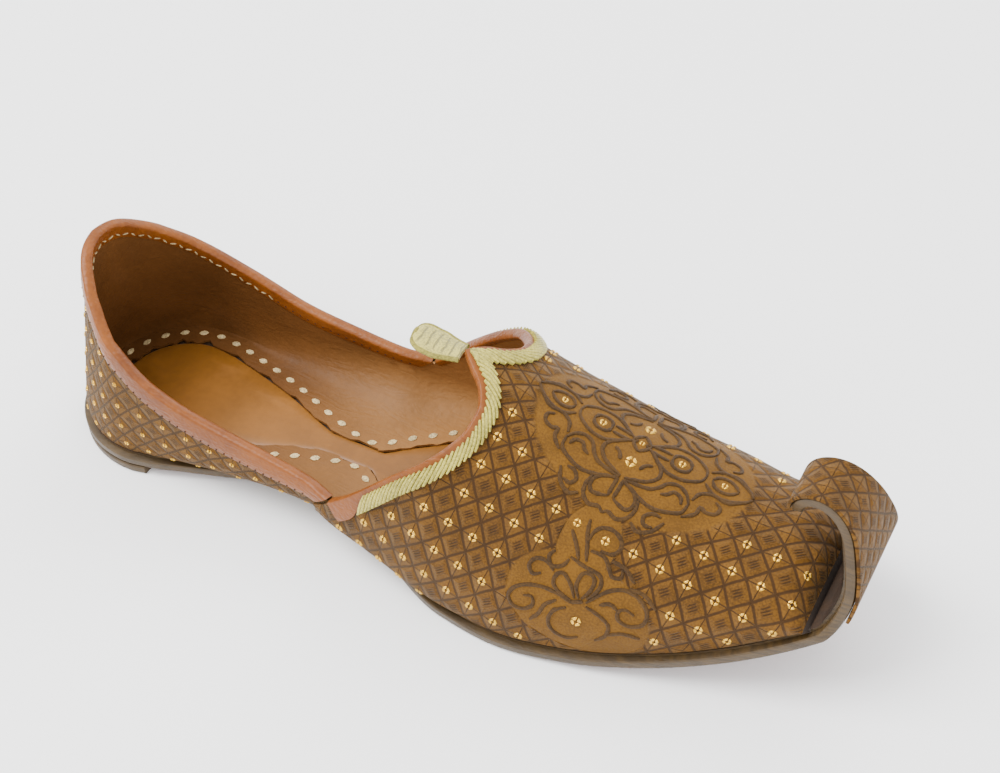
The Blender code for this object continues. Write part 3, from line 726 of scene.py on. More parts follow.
class FlatCloth:
    """Finds the place on a piece of cloth of a point of its flat pattern."""

    def __init__(self, mesh):
        count = len(mesh.vertices)
        self.points = np.array([vertex.co for vertex in mesh.vertices])
        self.normals = np.array([vertex.normal for vertex in mesh.vertices])
        flat = np.zeros((count, 2))
        layer = mesh.uv_layers[0].data
        for loop in mesh.loops:
            flat[loop.vertex_index] = layer[loop.index].uv
        self.flat = flat
        mesh.calc_loop_triangles()
        self.corners = [tuple(triangle.vertices) for triangle in mesh.loop_triangles]
        self.tree = BVHTree.FromPolygons([(u, v, 0.0) for u, v in flat], self.corners)

    def at(self, u, v, lift=0.0):
        """The point of the cloth at a flat place, raised by lift, the way outward, and how
        far the flat place is off the cloth's edge."""
        spot, _, index, off = self.tree.find_nearest((u, v, 0.0))
        a, b, c = self.corners[index]
        pa, pb, pc = self.flat[a], self.flat[b], self.flat[c]
        ab, ac, ap = pb - pa, pc - pa, np.array(spot[:2]) - pa
        area = ab[0] * ac[1] - ab[1] * ac[0]
        if abs(area) < 1e-14:
            share = (1.0, 0.0, 0.0)
        else:
            t = (ap[0] * ac[1] - ap[1] * ac[0]) / area
            s = (ab[0] * ap[1] - ab[1] * ap[0]) / area
            share = (1 - t - s, t, s)
        point, way = (
            share[0] * values[a] + share[1] * values[b] + share[2] * values[c]
            for values in (self.points, self.normals)
        )
        way = unit(way)
        return point + way * lift, way, off


FLAT = {}


def smooth_path(points, step):
    """A smooth curve through the points, cut into even steps."""
    points = np.array(points, float)
    padded = np.vstack([2 * points[0] - points[1], points, 2 * points[-1] - points[-2]])
    fine = []
    for k in range(1, len(padded) - 2):
        p0, p1, p2, p3 = padded[k - 1 : k + 3]
        for t in np.linspace(0, 1, 12, endpoint=False):
            square = 2 * p0 - 5 * p1 + 4 * p2 - p3
            cube = 3 * p1 - p0 - 3 * p2 + p3
            fine.append(0.5 * (2 * p1 + (p2 - p0) * t + square * t**2 + cube * t**3))
    fine.append(padded[-2])
    fine = np.array(fine)
    run = run_along(fine)
    count = max(int(run[-1] / step), 2)
    return read_along(np.linspace(0, run[-1], count + 1), run, fine).T


def lozenge(point, along, out, length, width, height):
    """The faces of one raised stitch, pointed at both ends."""
    along, out = unit(along), unit(out)
    side = np.cross(out, along)
    ring = []
    half_ring = ((-1, 0), (-0.55, -0.8), (0, -1), (0.55, -0.8))
    for sign in (1, -1):
        for share_along, share_side in half_ring:
            on_way = along * (sign * share_along) * length / 2
            ring.append(point + on_way + side * (sign * share_side) * width / 2)
    low = [spot - out * 0.0002 for spot in ring]
    high = [point + (spot - point) * 0.62 + out * height for spot in ring]
    middle = [spot + out * height * 0.45 for spot in ring]
    return [low[::-1], high] + walls_between([low, middle, high])


def rod(points, ups, widths, height, sides=8, sink=0.0002):
    """The faces of a rounded rod or ribbon along the points. ups are the ways outward."""
    rings = []
    count = len(points)
    for k in range(count):
        way = unit(points[min(k + 1, count - 1)] - points[max(k - 1, 0)])
        side = unit(np.cross(ups[k], way))
        up = np.cross(way, side)
        ring = []
        for j in range(sides):
            turn = 2 * math.pi * j / sides
            lift = math.sin(turn)
            rise = height * max(lift, 0.0) + sink * min(lift, 0.0)
            ring.append(points[k] + side * widths[k] / 2 * math.cos(turn) + up * rise)
        rings.append(ring)
    return [rings[0][::-1], rings[-1]] + walls_between(rings)


def quick_mesh(name, faces):
    """A mesh from many small closed shapes, whose own corners are shared but not joined."""
    points, index, polygons = [], {}, []
    for face in faces:
        polygon = []
        for point in face:
            key = tuple(np.round(point, 7))
            if key not in index:
                index[key] = len(points)
                points.append(key)
            if index[key] not in polygon:
                polygon.append(index[key])
        if len(polygon) > 2:
            polygons.append(polygon)
    mesh = bpy.data.meshes.new(name)
    mesh.from_pydata(points, [], polygons)
    soften(mesh, 60)
    return mesh


# --- nodes ---


def join(tree, value, socket):
    if isinstance(value, bpy.types.NodeSocket):
        tree.links.new(value, socket)
    elif isinstance(value, bpy.types.Node):
        tree.links.new(value.outputs[0], socket)
    elif socket.type == "RGBA" and len(value) == 3:
        socket.default_value = (*value, 1.0)
    else:
        socket.default_value = value


def add(tree, kind, inputs=(), **settings):
    node = tree.nodes.new(kind)
    for key, value in settings.items():
        setattr(node, key, value)
    for key, value in dict(inputs).items():
        join(tree, value, node.inputs[key])
    return node


def calc(tree, operation, *values):
    node = tree.nodes.new("ShaderNodeMath")
    node.operation = operation
    for value, socket in zip(values, node.inputs):
        join(tree, value, socket)
    return node.outputs[0]


def times(tree, *values):
    return calc(tree, "MULTIPLY", *values)


def plus(tree, *values):
    return calc(tree, "ADD", *values)


def minus(tree, *values):
    return calc(tree, "SUBTRACT", *values)


def of_vectors(tree, operation, inputs):
    return add(tree, "ShaderNodeVectorMath", inputs, operation=operation)


def clouds(tree, place, scale, detail, **more):
    """Soft noise. The node's first output is a value, its second one a colour."""
    return add(
        tree, "ShaderNodeTexNoise", {"Vector": place, "Scale": scale, "Detail": detail, **more}
    )


def blend(tree, share, first, second):
    """One colour mixed into another by a mask."""
    node = tree.nodes.new("ShaderNodeMix")
    node.data_type = "RGBA"
    node.clamp_factor = True
    join(tree, share, node.inputs[0])
    join(tree, first, node.inputs[6])
    join(tree, second, node.inputs[7])
    return node.outputs[2]


def fade(tree, value, low, high, at_low=0.0, at_high=1.0):
    """A soft step from one value to another."""
    node = add(tree, "ShaderNodeMapRange", {"Value": value, "From Min": low, "From Max": high})
    node.interpolation_type = "SMOOTHSTEP"
    node.inputs["To Min"].default_value = at_low
    node.inputs["To Max"].default_value = at_high
    return node.outputs[0]


def group_of(name, inputs, outputs):
    """A new shader node group with its own input and output nodes."""
    tree = bpy.data.node_groups.new(name, "ShaderNodeTree")
    for label, kind, default in inputs:
        socket = tree.interface.new_socket(name=label, in_out="INPUT", socket_type=kind)
        if default is not None:
            socket.default_value = default
    for label, kind in outputs:
        tree.interface.new_socket(name=label, in_out="OUTPUT", socket_type=kind)
    return tree, tree.nodes.new("NodeGroupInput"), tree.nodes.new("NodeGroupOutput")


FLOAT, VECTOR = "NodeSocketFloat", "NodeSocketVector"


def grain_group():
    """Leather grain: fine pores, faint wrinkles and soft blotches."""
    tree, given, out = group_of(
        "Leather Grain",
        [("Place", VECTOR, None), ("Pore Size", FLOAT, 900.0), ("Wrinkles", FLOAT, 0.4)],
        [("Height", FLOAT), ("Tone", FLOAT)],
    )
    place, size = given.outputs["Place"], given.outputs["Pore Size"]
    pores = add(tree, "ShaderNodeTexVoronoi", {"Vector": place, "Scale": size})
    fine = clouds(tree, place, times(tree, size, 0.8), 3.0)
    long_way = add(tree, "ShaderNodeMapping", {"Vector": place, "Scale": (0.35, 1.0, 1.0)})
    wrinkle = clouds(tree, long_way, 240.0, 2.0, Distortion=1.2)
    ridges = calc(tree, "ABSOLUTE", minus(tree, wrinkle.outputs[0], 0.5))
    ridges = times(tree, ridges, given.outputs["Wrinkles"])
    height = plus(tree, times(tree, pores.outputs[0], 0.5), times(tree, fine.outputs[0], 0.6))
    height = plus(tree, height, times(tree, ridges, 4.0))
    blotch = clouds(tree, place, 38.0, 3.0, Roughness=0.55)
    tone = plus(tree, times(tree, blotch.outputs[0], 0.75), times(tree, fine.outputs[0], 0.25))
    join(tree, height, out.inputs["Height"])
    join(tree, tone, out.inputs["Tone"])
    return tree


def brocade_group():
    """The brocade's square cells: sunk lines, crossed cells and cells with a hatched middle."""
    tree, given, out = group_of(
        "Brocade Cells",
        [("Place", VECTOR, None), ("Line Width", FLOAT, 0.035)],
        [(label, FLOAT) for label in ("Line", "Cross", "Hatch", "Crossed Cell", "Height")],
    )
    place = given.outputs["Place"]
    drift = clouds(tree, place, 0.9, 2.0)
    moved = of_vectors(tree, "SUBTRACT", {0: drift.outputs[1], 1: (0.5, 0.5, 0.5)})
    moved = of_vectors(tree, "SCALE", {0: moved, 3: 0.12})
    moved = of_vectors(tree, "ADD", {0: place, 1: moved})
    parts = add(tree, "ShaderNodeSeparateXYZ", {0: moved})
    near_x, near_y = (
        calc(tree, "ABSOLUTE", minus(tree, calc(tree, "FRACT", parts.outputs[axis]), 0.5))
        for axis in (0, 1)
    )
    far = calc(tree, "MAXIMUM", near_x, near_y)
    edge = minus(tree, 0.5, given.outputs["Line Width"])
    line = fade(tree, far, minus(tree, edge, 0.06), edge)
    floors = [calc(tree, "FLOOR", parts.outputs[axis]) for axis in (0, 1)]
    odd = calc(tree, "FLOORED_MODULO", plus(tree, *floors), 2.0)
    crossed = minus(tree, 1.0, odd)
    across = calc(tree, "ABSOLUTE", minus(tree, near_x, near_y))
    cross = times(tree, fade(tree, across, 0.015, 0.05, 1.0, 0.0), crossed)
    cross = times(tree, cross, minus(tree, 1.0, line))
    strokes = calc(tree, "SINE", times(tree, parts.outputs[0], 50.0))
    strokes = fade(tree, strokes, -0.6, 0.9, 0.35, 1.0)
    middle = times(tree, fade(tree, far, 0.10, 0.33, 1.0, 0.0), odd)
    hatch = times(tree, middle, strokes)
    pillow = fade(tree, far, 0.12, 0.5, 1.0, 0.0)
    height = minus(tree, pillow, times(tree, cross, 0.5))
    height = minus(tree, height, times(tree, hatch, 0.45))
    for number, value in enumerate((line, cross, hatch, crossed, height)):
        join(tree, value, out.inputs[number])
    return tree


def thread_group():
    """Fine threads laid side by side, with some lighter and some darker."""
    tree, given, out = group_of(
        "Thread Weave",
        [("Place", VECTOR, None), ("Threads", FLOAT, 2200.0)],
        [("Height", FLOAT), ("Tone", FLOAT)],
    )
    place = given.outputs["Place"]
    waves = []
    count = given.outputs["Threads"]
    values = {"Vector": place, "Scale": count, "Distortion": 1.4, "Detail": 2.0}
    for direction in ("X", "Y"):
        wave = add(tree, "ShaderNodeTexWave", values, bands_direction=direction)
        waves.append(wave.outputs[1])
    height = times(tree, *waves)
    speckle = clouds(tree, place, 1500.0, 2.0)
    blotch = clouds(tree, place, 90.0, 3.0)
    tone = plus(tree, times(tree, speckle.outputs[0], 0.6), times(tree, blotch.outputs[0], 0.4))
    join(tree, height, out.inputs["Height"])
    join(tree, tone, out.inputs["Tone"])
    return tree


def scuff_group():
    """Soft scuffs and worn places, as a mask."""
    tree, given, out = group_of(
        "Scuffs", [("Place", VECTOR, None), ("Size", FLOAT, 60.0)], [("Mask", FLOAT)]
    )
    place = given.outputs["Place"]
    values = {"Vector": place, "Scale": (0.5, 1.6, 1.0), "Rotation": (0.0, 0.0, 0.4)}
    stretched = add(tree, "ShaderNodeMapping", values)
    soft = clouds(tree, stretched, given.outputs["Size"], 6.0, Roughness=0.65)
    join(tree, fade(tree, soft.outputs[0], 0.52, 0.74), out.inputs["Mask"])
    return tree


def patch_group():
    """A round patch of the flat cloth, as a mask."""
    tree, given, out = group_of(
        "Scroll Patch",
        [("Place", VECTOR, None), ("Middle", VECTOR, None), ("Half Size", VECTOR, (1, 1, 1))],
        [("Mask", FLOAT)],
    )
    flat = of_vectors(tree, "SUBTRACT", {0: given.outputs["Place"], 1: given.outputs["Middle"]})
    scaled = of_vectors(tree, "DIVIDE", {0: flat, 1: given.outputs["Half Size"]})
    parts = add(tree, "ShaderNodeSeparateXYZ", {0: scaled})
    powers = [
        calc(tree, "POWER", calc(tree, "ABSOLUTE", parts.outputs[axis]), PATCH_POWER)
        for axis in (0, 1)
    ]
    join(tree, fade(tree, plus(tree, *powers), 0.94, 1.06, 1.0, 0.0), out.inputs["Mask"])
    return tree


GROUP_MAKERS = {
    "Leather Grain": grain_group,
    "Brocade Cells": brocade_group,
    "Thread Weave": thread_group,
    "Scuffs": scuff_group,
    "Scroll Patch": patch_group,
}


def effect(tree, name, inputs):
    """Places a shared effect in a material with its own values."""
    group = bpy.data.node_groups.get(name) or GROUP_MAKERS[name]()
    node = tree.nodes.new("ShaderNodeGroup")
    node.node_tree = group
    node.label = name
    for key, value in inputs.items():
        join(tree, value, node.inputs[key])
    return node


def start_material(name, **constants):
    """A material with its shader, and its own numbers set on the shader itself."""
    material = bpy.data.materials.new(name)
    material.use_nodes = True
    tree = material.node_tree
    shader = tree.nodes["Principled BSDF"]
    for key, value in constants.items():
        join(tree, value, shader.inputs[key.replace("_", " ")])
    return material, tree, shader


def bump(tree, height, strength, distance, below=None):
    inputs = {"Height": height, "Strength": strength, "Distance": distance}
    if below is not None:
        inputs["Normal"] = below
    return add(tree, "ShaderNodeBump", inputs).outputs[0]


def object_place(tree):
    return add(tree, "ShaderNodeTexCoord").outputs["Object"]


def flat_place(tree):
    return add(tree, "ShaderNodeUVMap", uv_map="Flat").outputs[0]


def shade(colour, share):
    """The colour made lighter or darker."""
    return tuple(min(value * share, 1.0) for value in colour[:3])


def finish_shader(tree, shader, paint, gloss, normal):
    """Gives the shader its colour, roughness and bumps."""
    join(tree, paint, shader.inputs["Base Color"])
    join(tree, gloss, shader.inputs["Roughness"])
    join(tree, normal, shader.inputs["Normal"])


def leather_material(
    name,
    colour,
    dark,
    pores,
    wrinkles,
    roughness,
    depth=0.00018,
    scuffs=0.25,
    front=None,
    **constants,
):
    """Leather with grain, soft blotches, scuffs and a gloss that is broken by them. It fades
    to the front colour toward the toe, if one is given, which paints shade toward the heel.
    constants are the shader's."""
    if name in bpy.data.materials:
        return bpy.data.materials[name]
    material, tree, shader = start_material(name, **constants)
    place = object_place(tree)
    values = {"Place": place, "Pore Size": pores, "Wrinkles": wrinkles}
    grain = effect(tree, "Leather Grain", values)
    worn = effect(tree, "Scuffs", {"Place": place, "Size": 70.0})
    tone = fade(tree, grain.outputs["Tone"], 0.30, 0.70)
    paint = blend(tree, tone, dark, colour)
    # Painted shade: the colour is darker toward the heel and lightens to the front colour along the
    # shoe
    if front:
        along = add(tree, "ShaderNodeSeparateXYZ", {0: place}).outputs[0]
        ahead = fade(tree, along, HEEL_SHADE_FROM, HEEL_SHADE_TO)
        paint = blend(tree, ahead, paint, blend(tree, tone, shade(front, 0.75), front))
    paint = blend(tree, times(tree, worn.outputs[0], scuffs), paint, shade(colour, 1.45))
    gloss = plus(tree, roughness, times(tree, worn.outputs[0], 0.18))
    gloss = plus(tree, gloss, times(tree, grain.outputs["Tone"], 0.08))
    normal = bump(tree, grain.outputs["Height"], 0.55, depth)
    finish_shader(tree, shader, paint, gloss, normal)
    return material


def vamp_cells(tree, flat, pitch):
    """Places counted in cells of the vamp's brocade, which lies on the bias, and in millimetres
    from the pattern's middle line."""
    parts = add(tree, "ShaderNodeSeparateXYZ", {0: flat})
    along = times(tree, parts.outputs[0], 1 / MILLIMETRE)
    aside = minus(tree, times(tree, parts.outputs[1], 1 / MILLIMETRE), MIDDLE_LINE)
    aside = calc(tree, "ABSOLUTE", aside)
    row_height = plus(tree, ROW_HEIGHT, times(tree, calc(tree, "SQRT", aside), ROW_GROWTH))
    row = calc(tree, "DIVIDE", aside, row_height)
    step = calc(tree, "DIVIDE", minus(tree, along, FIRST_CELL), pitch / MILLIMETRE)
    middle_place = add(tree, "ShaderNodeCombineXYZ", {0: along, 1: aside}).outputs[0]
    return biased(tree, step, row), middle_place


def plain_cells(tree, flat, pitch):
    """Places counted in cells of brocade that lies on the bias with even rows."""
    parts = add(tree, "ShaderNodeSeparateXYZ", {0: flat})
    step = calc(tree, "DIVIDE", calc(tree, "ABSOLUTE", parts.outputs[0]), pitch)
    row = calc(tree, "DIVIDE", minus(tree, parts.outputs[1], FIRST_ROW), pitch)
    return biased(tree, step, row), None


def biased(tree, step, row):
    """The cell that a step and a row lie in when the cloth's grid is turned halfway."""
    first = plus(tree, plus(tree, step, row), 0.5)
    second = plus(tree, minus(tree, step, row), 0.5)
    return add(tree, "ShaderNodeCombineXYZ", {0: first, 1: second}).outputs[0]


def brocade_material(name, colours, pitch, cells_of, patches=()):
    """Brocade: a grid of sunk lines with crossed and hatched cells, and plain ground in the
    patches that carry scrolls."""
    if name in bpy.data.materials:
        return bpy.data.materials[name]
    material, tree, shader = start_material(
        name,
        Sheen_Weight=0.08,
        Sheen_Roughness=0.4,
        Sheen_Tint=(1.0, 0.8, 0.5),
        Specular_IOR_Level=0.15,
    )
    flat = flat_place(tree)
    cells, middle_place = cells_of(tree, flat, pitch)
    figure = effect(tree, "Brocade Cells", {"Place": cells})
    weave = effect(tree, "Thread Weave", {"Place": flat})
    soil = effect(tree, "Scuffs", {"Place": object_place(tree), "Size": 45.0})
    mask = 0.0
    for middle, half in patches:
        values = {"Place": middle_place, "Middle": (*middle, 0.0), "Half Size": (*half, 1.0)}
        mask = calc(tree, "MAXIMUM", mask, effect(tree, "Scroll Patch", values).outputs[0])
    grid = minus(tree, 1.0, mask)
    tone = fade(tree, weave.outputs["Tone"], 0.38, 0.62)
    light = colours.brocade_light
    plain = blend(tree, tone, shade(colours.brocade, 0.62), shade(colours.brocade, 1.15))
    bright = blend(tree, tone, shade(light, 0.7), shade(light, 1.1))
    dark = colours.brocade_dark[:]
    lit = plain
    for label, share, paint in (
        ("Crossed Cell", 0.6, bright),
        ("Hatch", 0.85, dark),
        ("Cross", 0.75, shade(dark, 1.2)),
        ("Line", 0.85, dark),
    ):
        lit = blend(tree, times(tree, figure.outputs[label], share), lit, paint)
    ground = colours.scroll_ground
    ground = blend(tree, tone, shade(ground, 0.7), shade(ground, 1.12))
    paint = blend(tree, mask, lit, ground)
    paint = blend(tree, times(tree, soil.outputs[0], 0.35), paint, shade(dark, 1.8))
    gloss = fade(tree, weave.outputs["Height"], 0.0, 1.0, 0.72, 0.5)
    cells_up = bump(tree, times(tree, figure.outputs["Height"], grid), 1.0, 0.0011)
    normal = bump(tree, weave.outputs["Height"], 0.5, 0.00016, cells_up)
    finish_shader(tree, shader, paint, gloss, normal)
    return material


def thread_material(name, colour, threads=2600.0, roughness=0.5, **constants):
    """Twisted thread with light and dark strands."""
    if name in bpy.data.materials:
        return bpy.data.materials[name]
    material, tree, shader = start_material(
        name, Sheen_Weight=0.04, Specular_IOR_Level=0.2, **constants
    )
    weave = effect(tree, "Thread Weave", {"Place": object_place(tree), "Threads": threads})
    tone = fade(tree, weave.outputs["Tone"], 0.36, 0.62)
    paint = blend(tree, tone, shade(colour, 0.6), shade(colour, 1.15))
    gloss = fade(tree, weave.outputs["Height"], 0.0, 1.0, roughness + 0.15, roughness - 0.08)
    normal = bump(tree, weave.outputs["Height"], 0.6, 0.00015)
    finish_shader(tree, shader, paint, gloss, normal)
    return material


def gilt_material(colours):
    """Gold foil of the sequins, a little worn and uneven."""
    if "sequin gilt" in bpy.data.materials:
        return bpy.data.materials["sequin gilt"]
    material, tree, shader = start_material("sequin gilt")
    place = object_place(tree)
    noise = clouds(tree, place, 700.0, 2.0)
    tone = fade(tree, noise.outputs[0], 0.35, 0.65)
    paint = blend(tree, tone, shade(colours.gilt, 0.72), colours.gilt[:])
    gloss = fade(tree, noise.outputs[0], 0.3, 0.7, 0.38, 0.22)
    finish_shader(tree, shader, paint, gloss, bump(tree, noise.outputs[0], 0.3, 0.0001))
    join(tree, fade(tree, noise.outputs[0], 0.3, 0.7, 0.95, 0.8), shader.inputs["Metallic"])
    return material


# --- sizes and colours to change ---


def seen(red, green, blue):
    """A colour given as it is seen, 0 to 255, as the light values that a shader takes."""

    def light(value):
        value /= 255
        return value / 12.92 if value <= 0.04045 else ((value + 0.055) / 1.055) ** 2.4

    return light(red), light(green), light(blue)


def colour(name, description, value):
    return bpy.props.FloatVectorProperty(
        name=name,
        description=description,
        default=seen(*value),
        size=3,
        min=0.0,
        max=1.0,
        subtype="COLOR",
    )


def length(name, description, value):
    return bpy.props.FloatProperty(
        name=name,
        description=description,
        default=value,
        min=0.0,
        unit="LENGTH",
        subtype="DISTANCE",
    )


class MojariColours(bpy.types.PropertyGroup):
    """Colours of the shoe's materials"""

    brocade: colour("Brocade", "Ground of the brocade's cells", (95, 62, 15))
    brocade_light: colour("Brocade, light", "Crossed cells of the brocade", (108, 72, 22))
    brocade_dark: colour("Brocade, dark", "Sunk lines and hatching of the brocade", (40, 23, 6))
    scroll_ground: colour("Scroll ground", "Plain ground round the scrolls", (101, 67, 16))
    scroll: colour("Scroll thread", "Raised thread of the scrolls", (66, 44, 14))
    gilt: colour("Gilt", "Gold foil of the sequins", (226, 178, 70))
    binding: colour("Binding", "Leather of the collar and throat bindings", (124, 68, 18))
    binding_dark: colour("Binding, dark", "Shaded grain of the binding leather", (92, 46, 13))
    # The lining's two colours paint shade: the lining colour is the darker one deep in the heel, the
    # front one is where that painted shade has faded out
    lining_front_unshaded: colour("Lining, front", "Paler lining toward the throat", (150, 104, 56))
    lining: colour("Lining", "Leather that lines the upper", (96, 60, 26))
    insole: colour("Insole", "Burnished leather of the insole", (128, 82, 30))
    sole: colour("Sole", "Maroon leather under the sole", (96, 22, 14))
    sole_edge: colour("Sole edge", "Cut edge of the sole's layers", (64, 47, 20))
    braid: colour("Braid", "Pale gold-green thread of braid and tab", (186, 174, 80))
    stitch: colour("Stitch", "Cream thread of the sole stitches", (212, 188, 138))
    floor: colour("Floor", "Floor under the shoe", (251, 251, 251))


class MojariSizes(bpy.types.PropertyGroup):
    """Sizes of the shoe's small work"""

    cell: length("Brocade pitch", "From one sequin of the vamp to the next", 0.0090)
    quarter_cell: length("Quarter pitch", "From one sequin of the quarters to the next", 0.0088)
    sequin: length("Sequin", "Width of a sequin", 0.0029)
    scroll_width: length("Scroll width", "Width of the scrolls' raised thread", 0.0013)
    stitch_pitch: length("Stitch pitch", "From one sole stitch to the next", 0.0069)
    stitch_length: length("Stitch length", "Length of a sole stitch", 0.0034)
    strand_pitch: length("Braid pitch", "From one strand of the braid to the next", 0.0019)
    strand_length: length("Braid strand", "Length of a strand of the braid", 0.0070)


def colours_now():
    return bpy.context.scene.mojari_colours


def sizes_now():
    return bpy.context.scene.mojari_sizes


# --- the pieces ---


def outline_of(half, back, front, steps, round_back=None):
    """(along, half width) pairs from back to front, the round back end cut by angle."""
    pairs = []
    start = back
    if round_back:
        count = 20
        for k in range(count):
            t = math.pi / 2 * k / count
            pairs.append((back + round_back * (1 - math.cos(t)), round_back * math.sin(t)))
        start = back + round_back
    for u in np.linspace(start, front, steps):
        pairs.append((u, float(half(u))))
    return pairs


def plate(name, outline, levels, kinds, across=6):
    """A mesh of a plate bent along the sole. outline is (along, half width) from its back to
    its front; levels are (inset, height) upward; kinds number the materials below, on the
    sides and above."""
    outline = np.array(outline, float)
    ways = np.gradient(outline, axis=0)
    ways /= np.linalg.norm(ways, axis=1)[:, None]
    inward = np.stack([ways[:, 1], -ways[:, 0]], 1)
    if outline[0, 1] == 0:
        inward[0] = (1, 0)
    inward[-1] = (0, -1)

    def ring(k):
        near, far = [], []
        for inset, height in levels:
            u, half = outline[k] + inward[k] * inset
            half = max(half, 0.0)
            near.append((u, -half, height))
            far.append((u, half, height))
        return near, far

    faces, numbers = [], []

    def face(kind, *points):
        if add_quad(faces, *[on_sole(*point) for point in points]):
            numbers.append(kind)

    def between(first, last, share):
        return tuple(a + (b - a) * share for a, b in zip(first, last))

    rings = [ring(k) for k in range(len(outline))]
    for (near, far), (next_near, next_far) in zip(rings[:-1], rings[1:]):
        for i in range(len(levels) - 1):
            face(kinds[1], near[i], near[i + 1], next_near[i + 1], next_near[i])
            face(kinds[1], far[i + 1], far[i], next_far[i], next_far[i + 1])
        for level, kind in ((0, kinds[0]), (-1, kinds[2])):
            for k in range(across):
                low, high = k / across, (k + 1) / across
                face(
                    kind,
                    between(near[level], far[level], low),
                    between(next_near[level], next_far[level], low),
                    between(next_near[level], next_far[level], high),
                    between(near[level], far[level], high),
                )
    for near, far in (rings[0], rings[-1]):
        for i in range(len(levels) - 1):
            for k in range(across):
                low, high = k / across, (k + 1) / across
                face(
                    kinds[1],
                    between(near[i], far[i], low),
                    between(near[i + 1], far[i + 1], low),
                    between(near[i + 1], far[i + 1], high),
                    between(near[i], far[i], high),
                )
    return mesh_of(name, faces, 34, numbers)


def add_flat_uv(mesh, place):
    """Gives a mesh UVs in metres from the points of its corners."""
    layer = mesh.uv_layers.new(name="Flat")
    for loop in mesh.loops:
        layer.data[loop.index].uv = place(mesh.vertices[loop.vertex_index].co)


def edge_material(colours):
    """The cut edge of the sole: layers pressed together, waxed, with dark and light streaks."""
    if "sole edge" in bpy.data.materials:
        return bpy.data.materials["sole edge"]
    material, tree, shader = start_material(
        "sole edge", Specular_IOR_Level=0.4, Coat_Weight=0.12, Coat_Roughness=0.35
    )
    place = object_place(tree)
    grain = effect(tree, "Leather Grain", {"Place": place, "Pore Size": 1400.0, "Wrinkles": 0.6})
    worn = effect(tree, "Scuffs", {"Place": place, "Size": 120.0})
    layered = add(tree, "ShaderNodeMapping", {"Vector": place, "Scale": (0.15, 0.15, 2.2)})
    streaks = clouds(tree, layered, 600.0, 3.0)
    tone = fade(tree, streaks.outputs[0], 0.35, 0.68)
    paint = blend(tree, tone, shade(colours.sole_edge, 0.68), shade(colours.sole_edge, 1.2))
    paint = blend(tree, times(tree, worn.outputs[0], 0.5), paint, shade(colours.sole_edge, 1.7))
    gloss = fade(tree, grain.outputs["Tone"], 0.3, 0.7, 0.42, 0.6)
    height = plus(tree, grain.outputs["Height"], streaks.outputs[0])
    finish_shader(tree, shader, paint, gloss, bump(tree, height, 0.5, 0.0002))
    return material


def sole_materials(colours):
    """The leathers of the sole's underside, edge and bed; the bed's near black colour is painted
    shade.
    """
    under = leather_material(
        "sole underside",
        colours.sole[:],
        shade(colours.sole, 0.62),
        pores=700.0,
        wrinkles=0.25,
        roughness=0.42,
        depth=0.00012,
        scuffs=0.35,
        Coat_Weight=0.25,
        Coat_Roughness=0.3,
    )
    # Painted shade: the bed shows inside the curl, so it is coloured near black for the shade that
    # falls there
    bed = leather_material(
        "sole bed",
        shade(colours.insole, 0.16),
        shade(colours.insole, 0.08),
        pores=800.0,
        wrinkles=0.5,
        roughness=0.7,
    )
    return under, edge_material(colours), bed


def build_outsole():
    """The sole of one thick layer under a shadowed gap, and the strip that curls up past it."""
    levels = (
        (0.0010, 0.0),
        (0.0003, 0.0003),
        (0.0, 0.0009),
        (0.0, 0.0029),
        (0.0003, 0.0033),
        (0.0009, 0.0034),
        (0.0023, 0.0035),
        (0.0023, 0.0045),
        (0.0020, SOLE_THICKNESS),
    )
    sole = outline_of(half_width, 0.0, SOLE_LENGTH, 120, HEEL_RADIUS)
    strip = outline_of(half_width, SOLE_LENGTH, SOLE_LENGTH + ROLLED_LENGTH, CURL_STEPS)
    mesh = plate("outsole_layers", sole + strip[1:], levels, (0, 1, 2))
    new_piece(mesh, ["outsole"], sole_materials(colours_now()))


def build_heel_lift():
    """The layer of leather under the heel."""
    levels = (
        (0.0009, -LIFT_THICKNESS),
        (0.0002, 0.0003 - LIFT_THICKNESS),
        (0.0, 0.0009 - LIFT_THICKNESS),
        (0.0, -0.0008),
        (0.0004, -GAP),
    )
    outline = outline_of(half_width, 0.0, LIFT_LENGTH, 14, HEEL_RADIUS)
    mesh = plate("heel_lift_layer", outline, levels, (0, 1, 1))
    new_piece(mesh, ["heel_lift"], sole_materials(colours_now())[:2])


def build_insole():
    """The burnished sock, a little crowned, with a cut edge."""

    def half(u):
        return max(float(half_width(u)) - FEATHER_INSET - FLANGE_WIDTH, LEAST_OPENING) - GAP

    radius = HEEL_RADIUS - FEATHER_INSET - FLANGE_WIDTH - GAP
    levels = (
        (0.0, BED_HEIGHT - GAP),
        (0.0, BED_HEIGHT + INSOLE_THICKNESS * 0.7),
        (0.0008, BED_HEIGHT + INSOLE_THICKNESS),
    )
    outline = outline_of(half, HEEL_RADIUS - radius, 0.90 * SOLE_LENGTH, 90, radius)
    colours = colours_now()
    leather = leather_material(
        "insole leather",
        colours.insole[:],
        shade(colours.insole, 0.72),
        pores=500.0,
        wrinkles=0.15,
        roughness=0.34,
        depth=0.00008,
        scuffs=0.3,
        Coat_Weight=0.10,
        Coat_Roughness=0.3,
        Specular_IOR_Level=0.3,
    )
    mesh = plate("insole_sock", outline, levels, (0, 0, 0))
    new_piece(mesh, ["insole"], [leather])


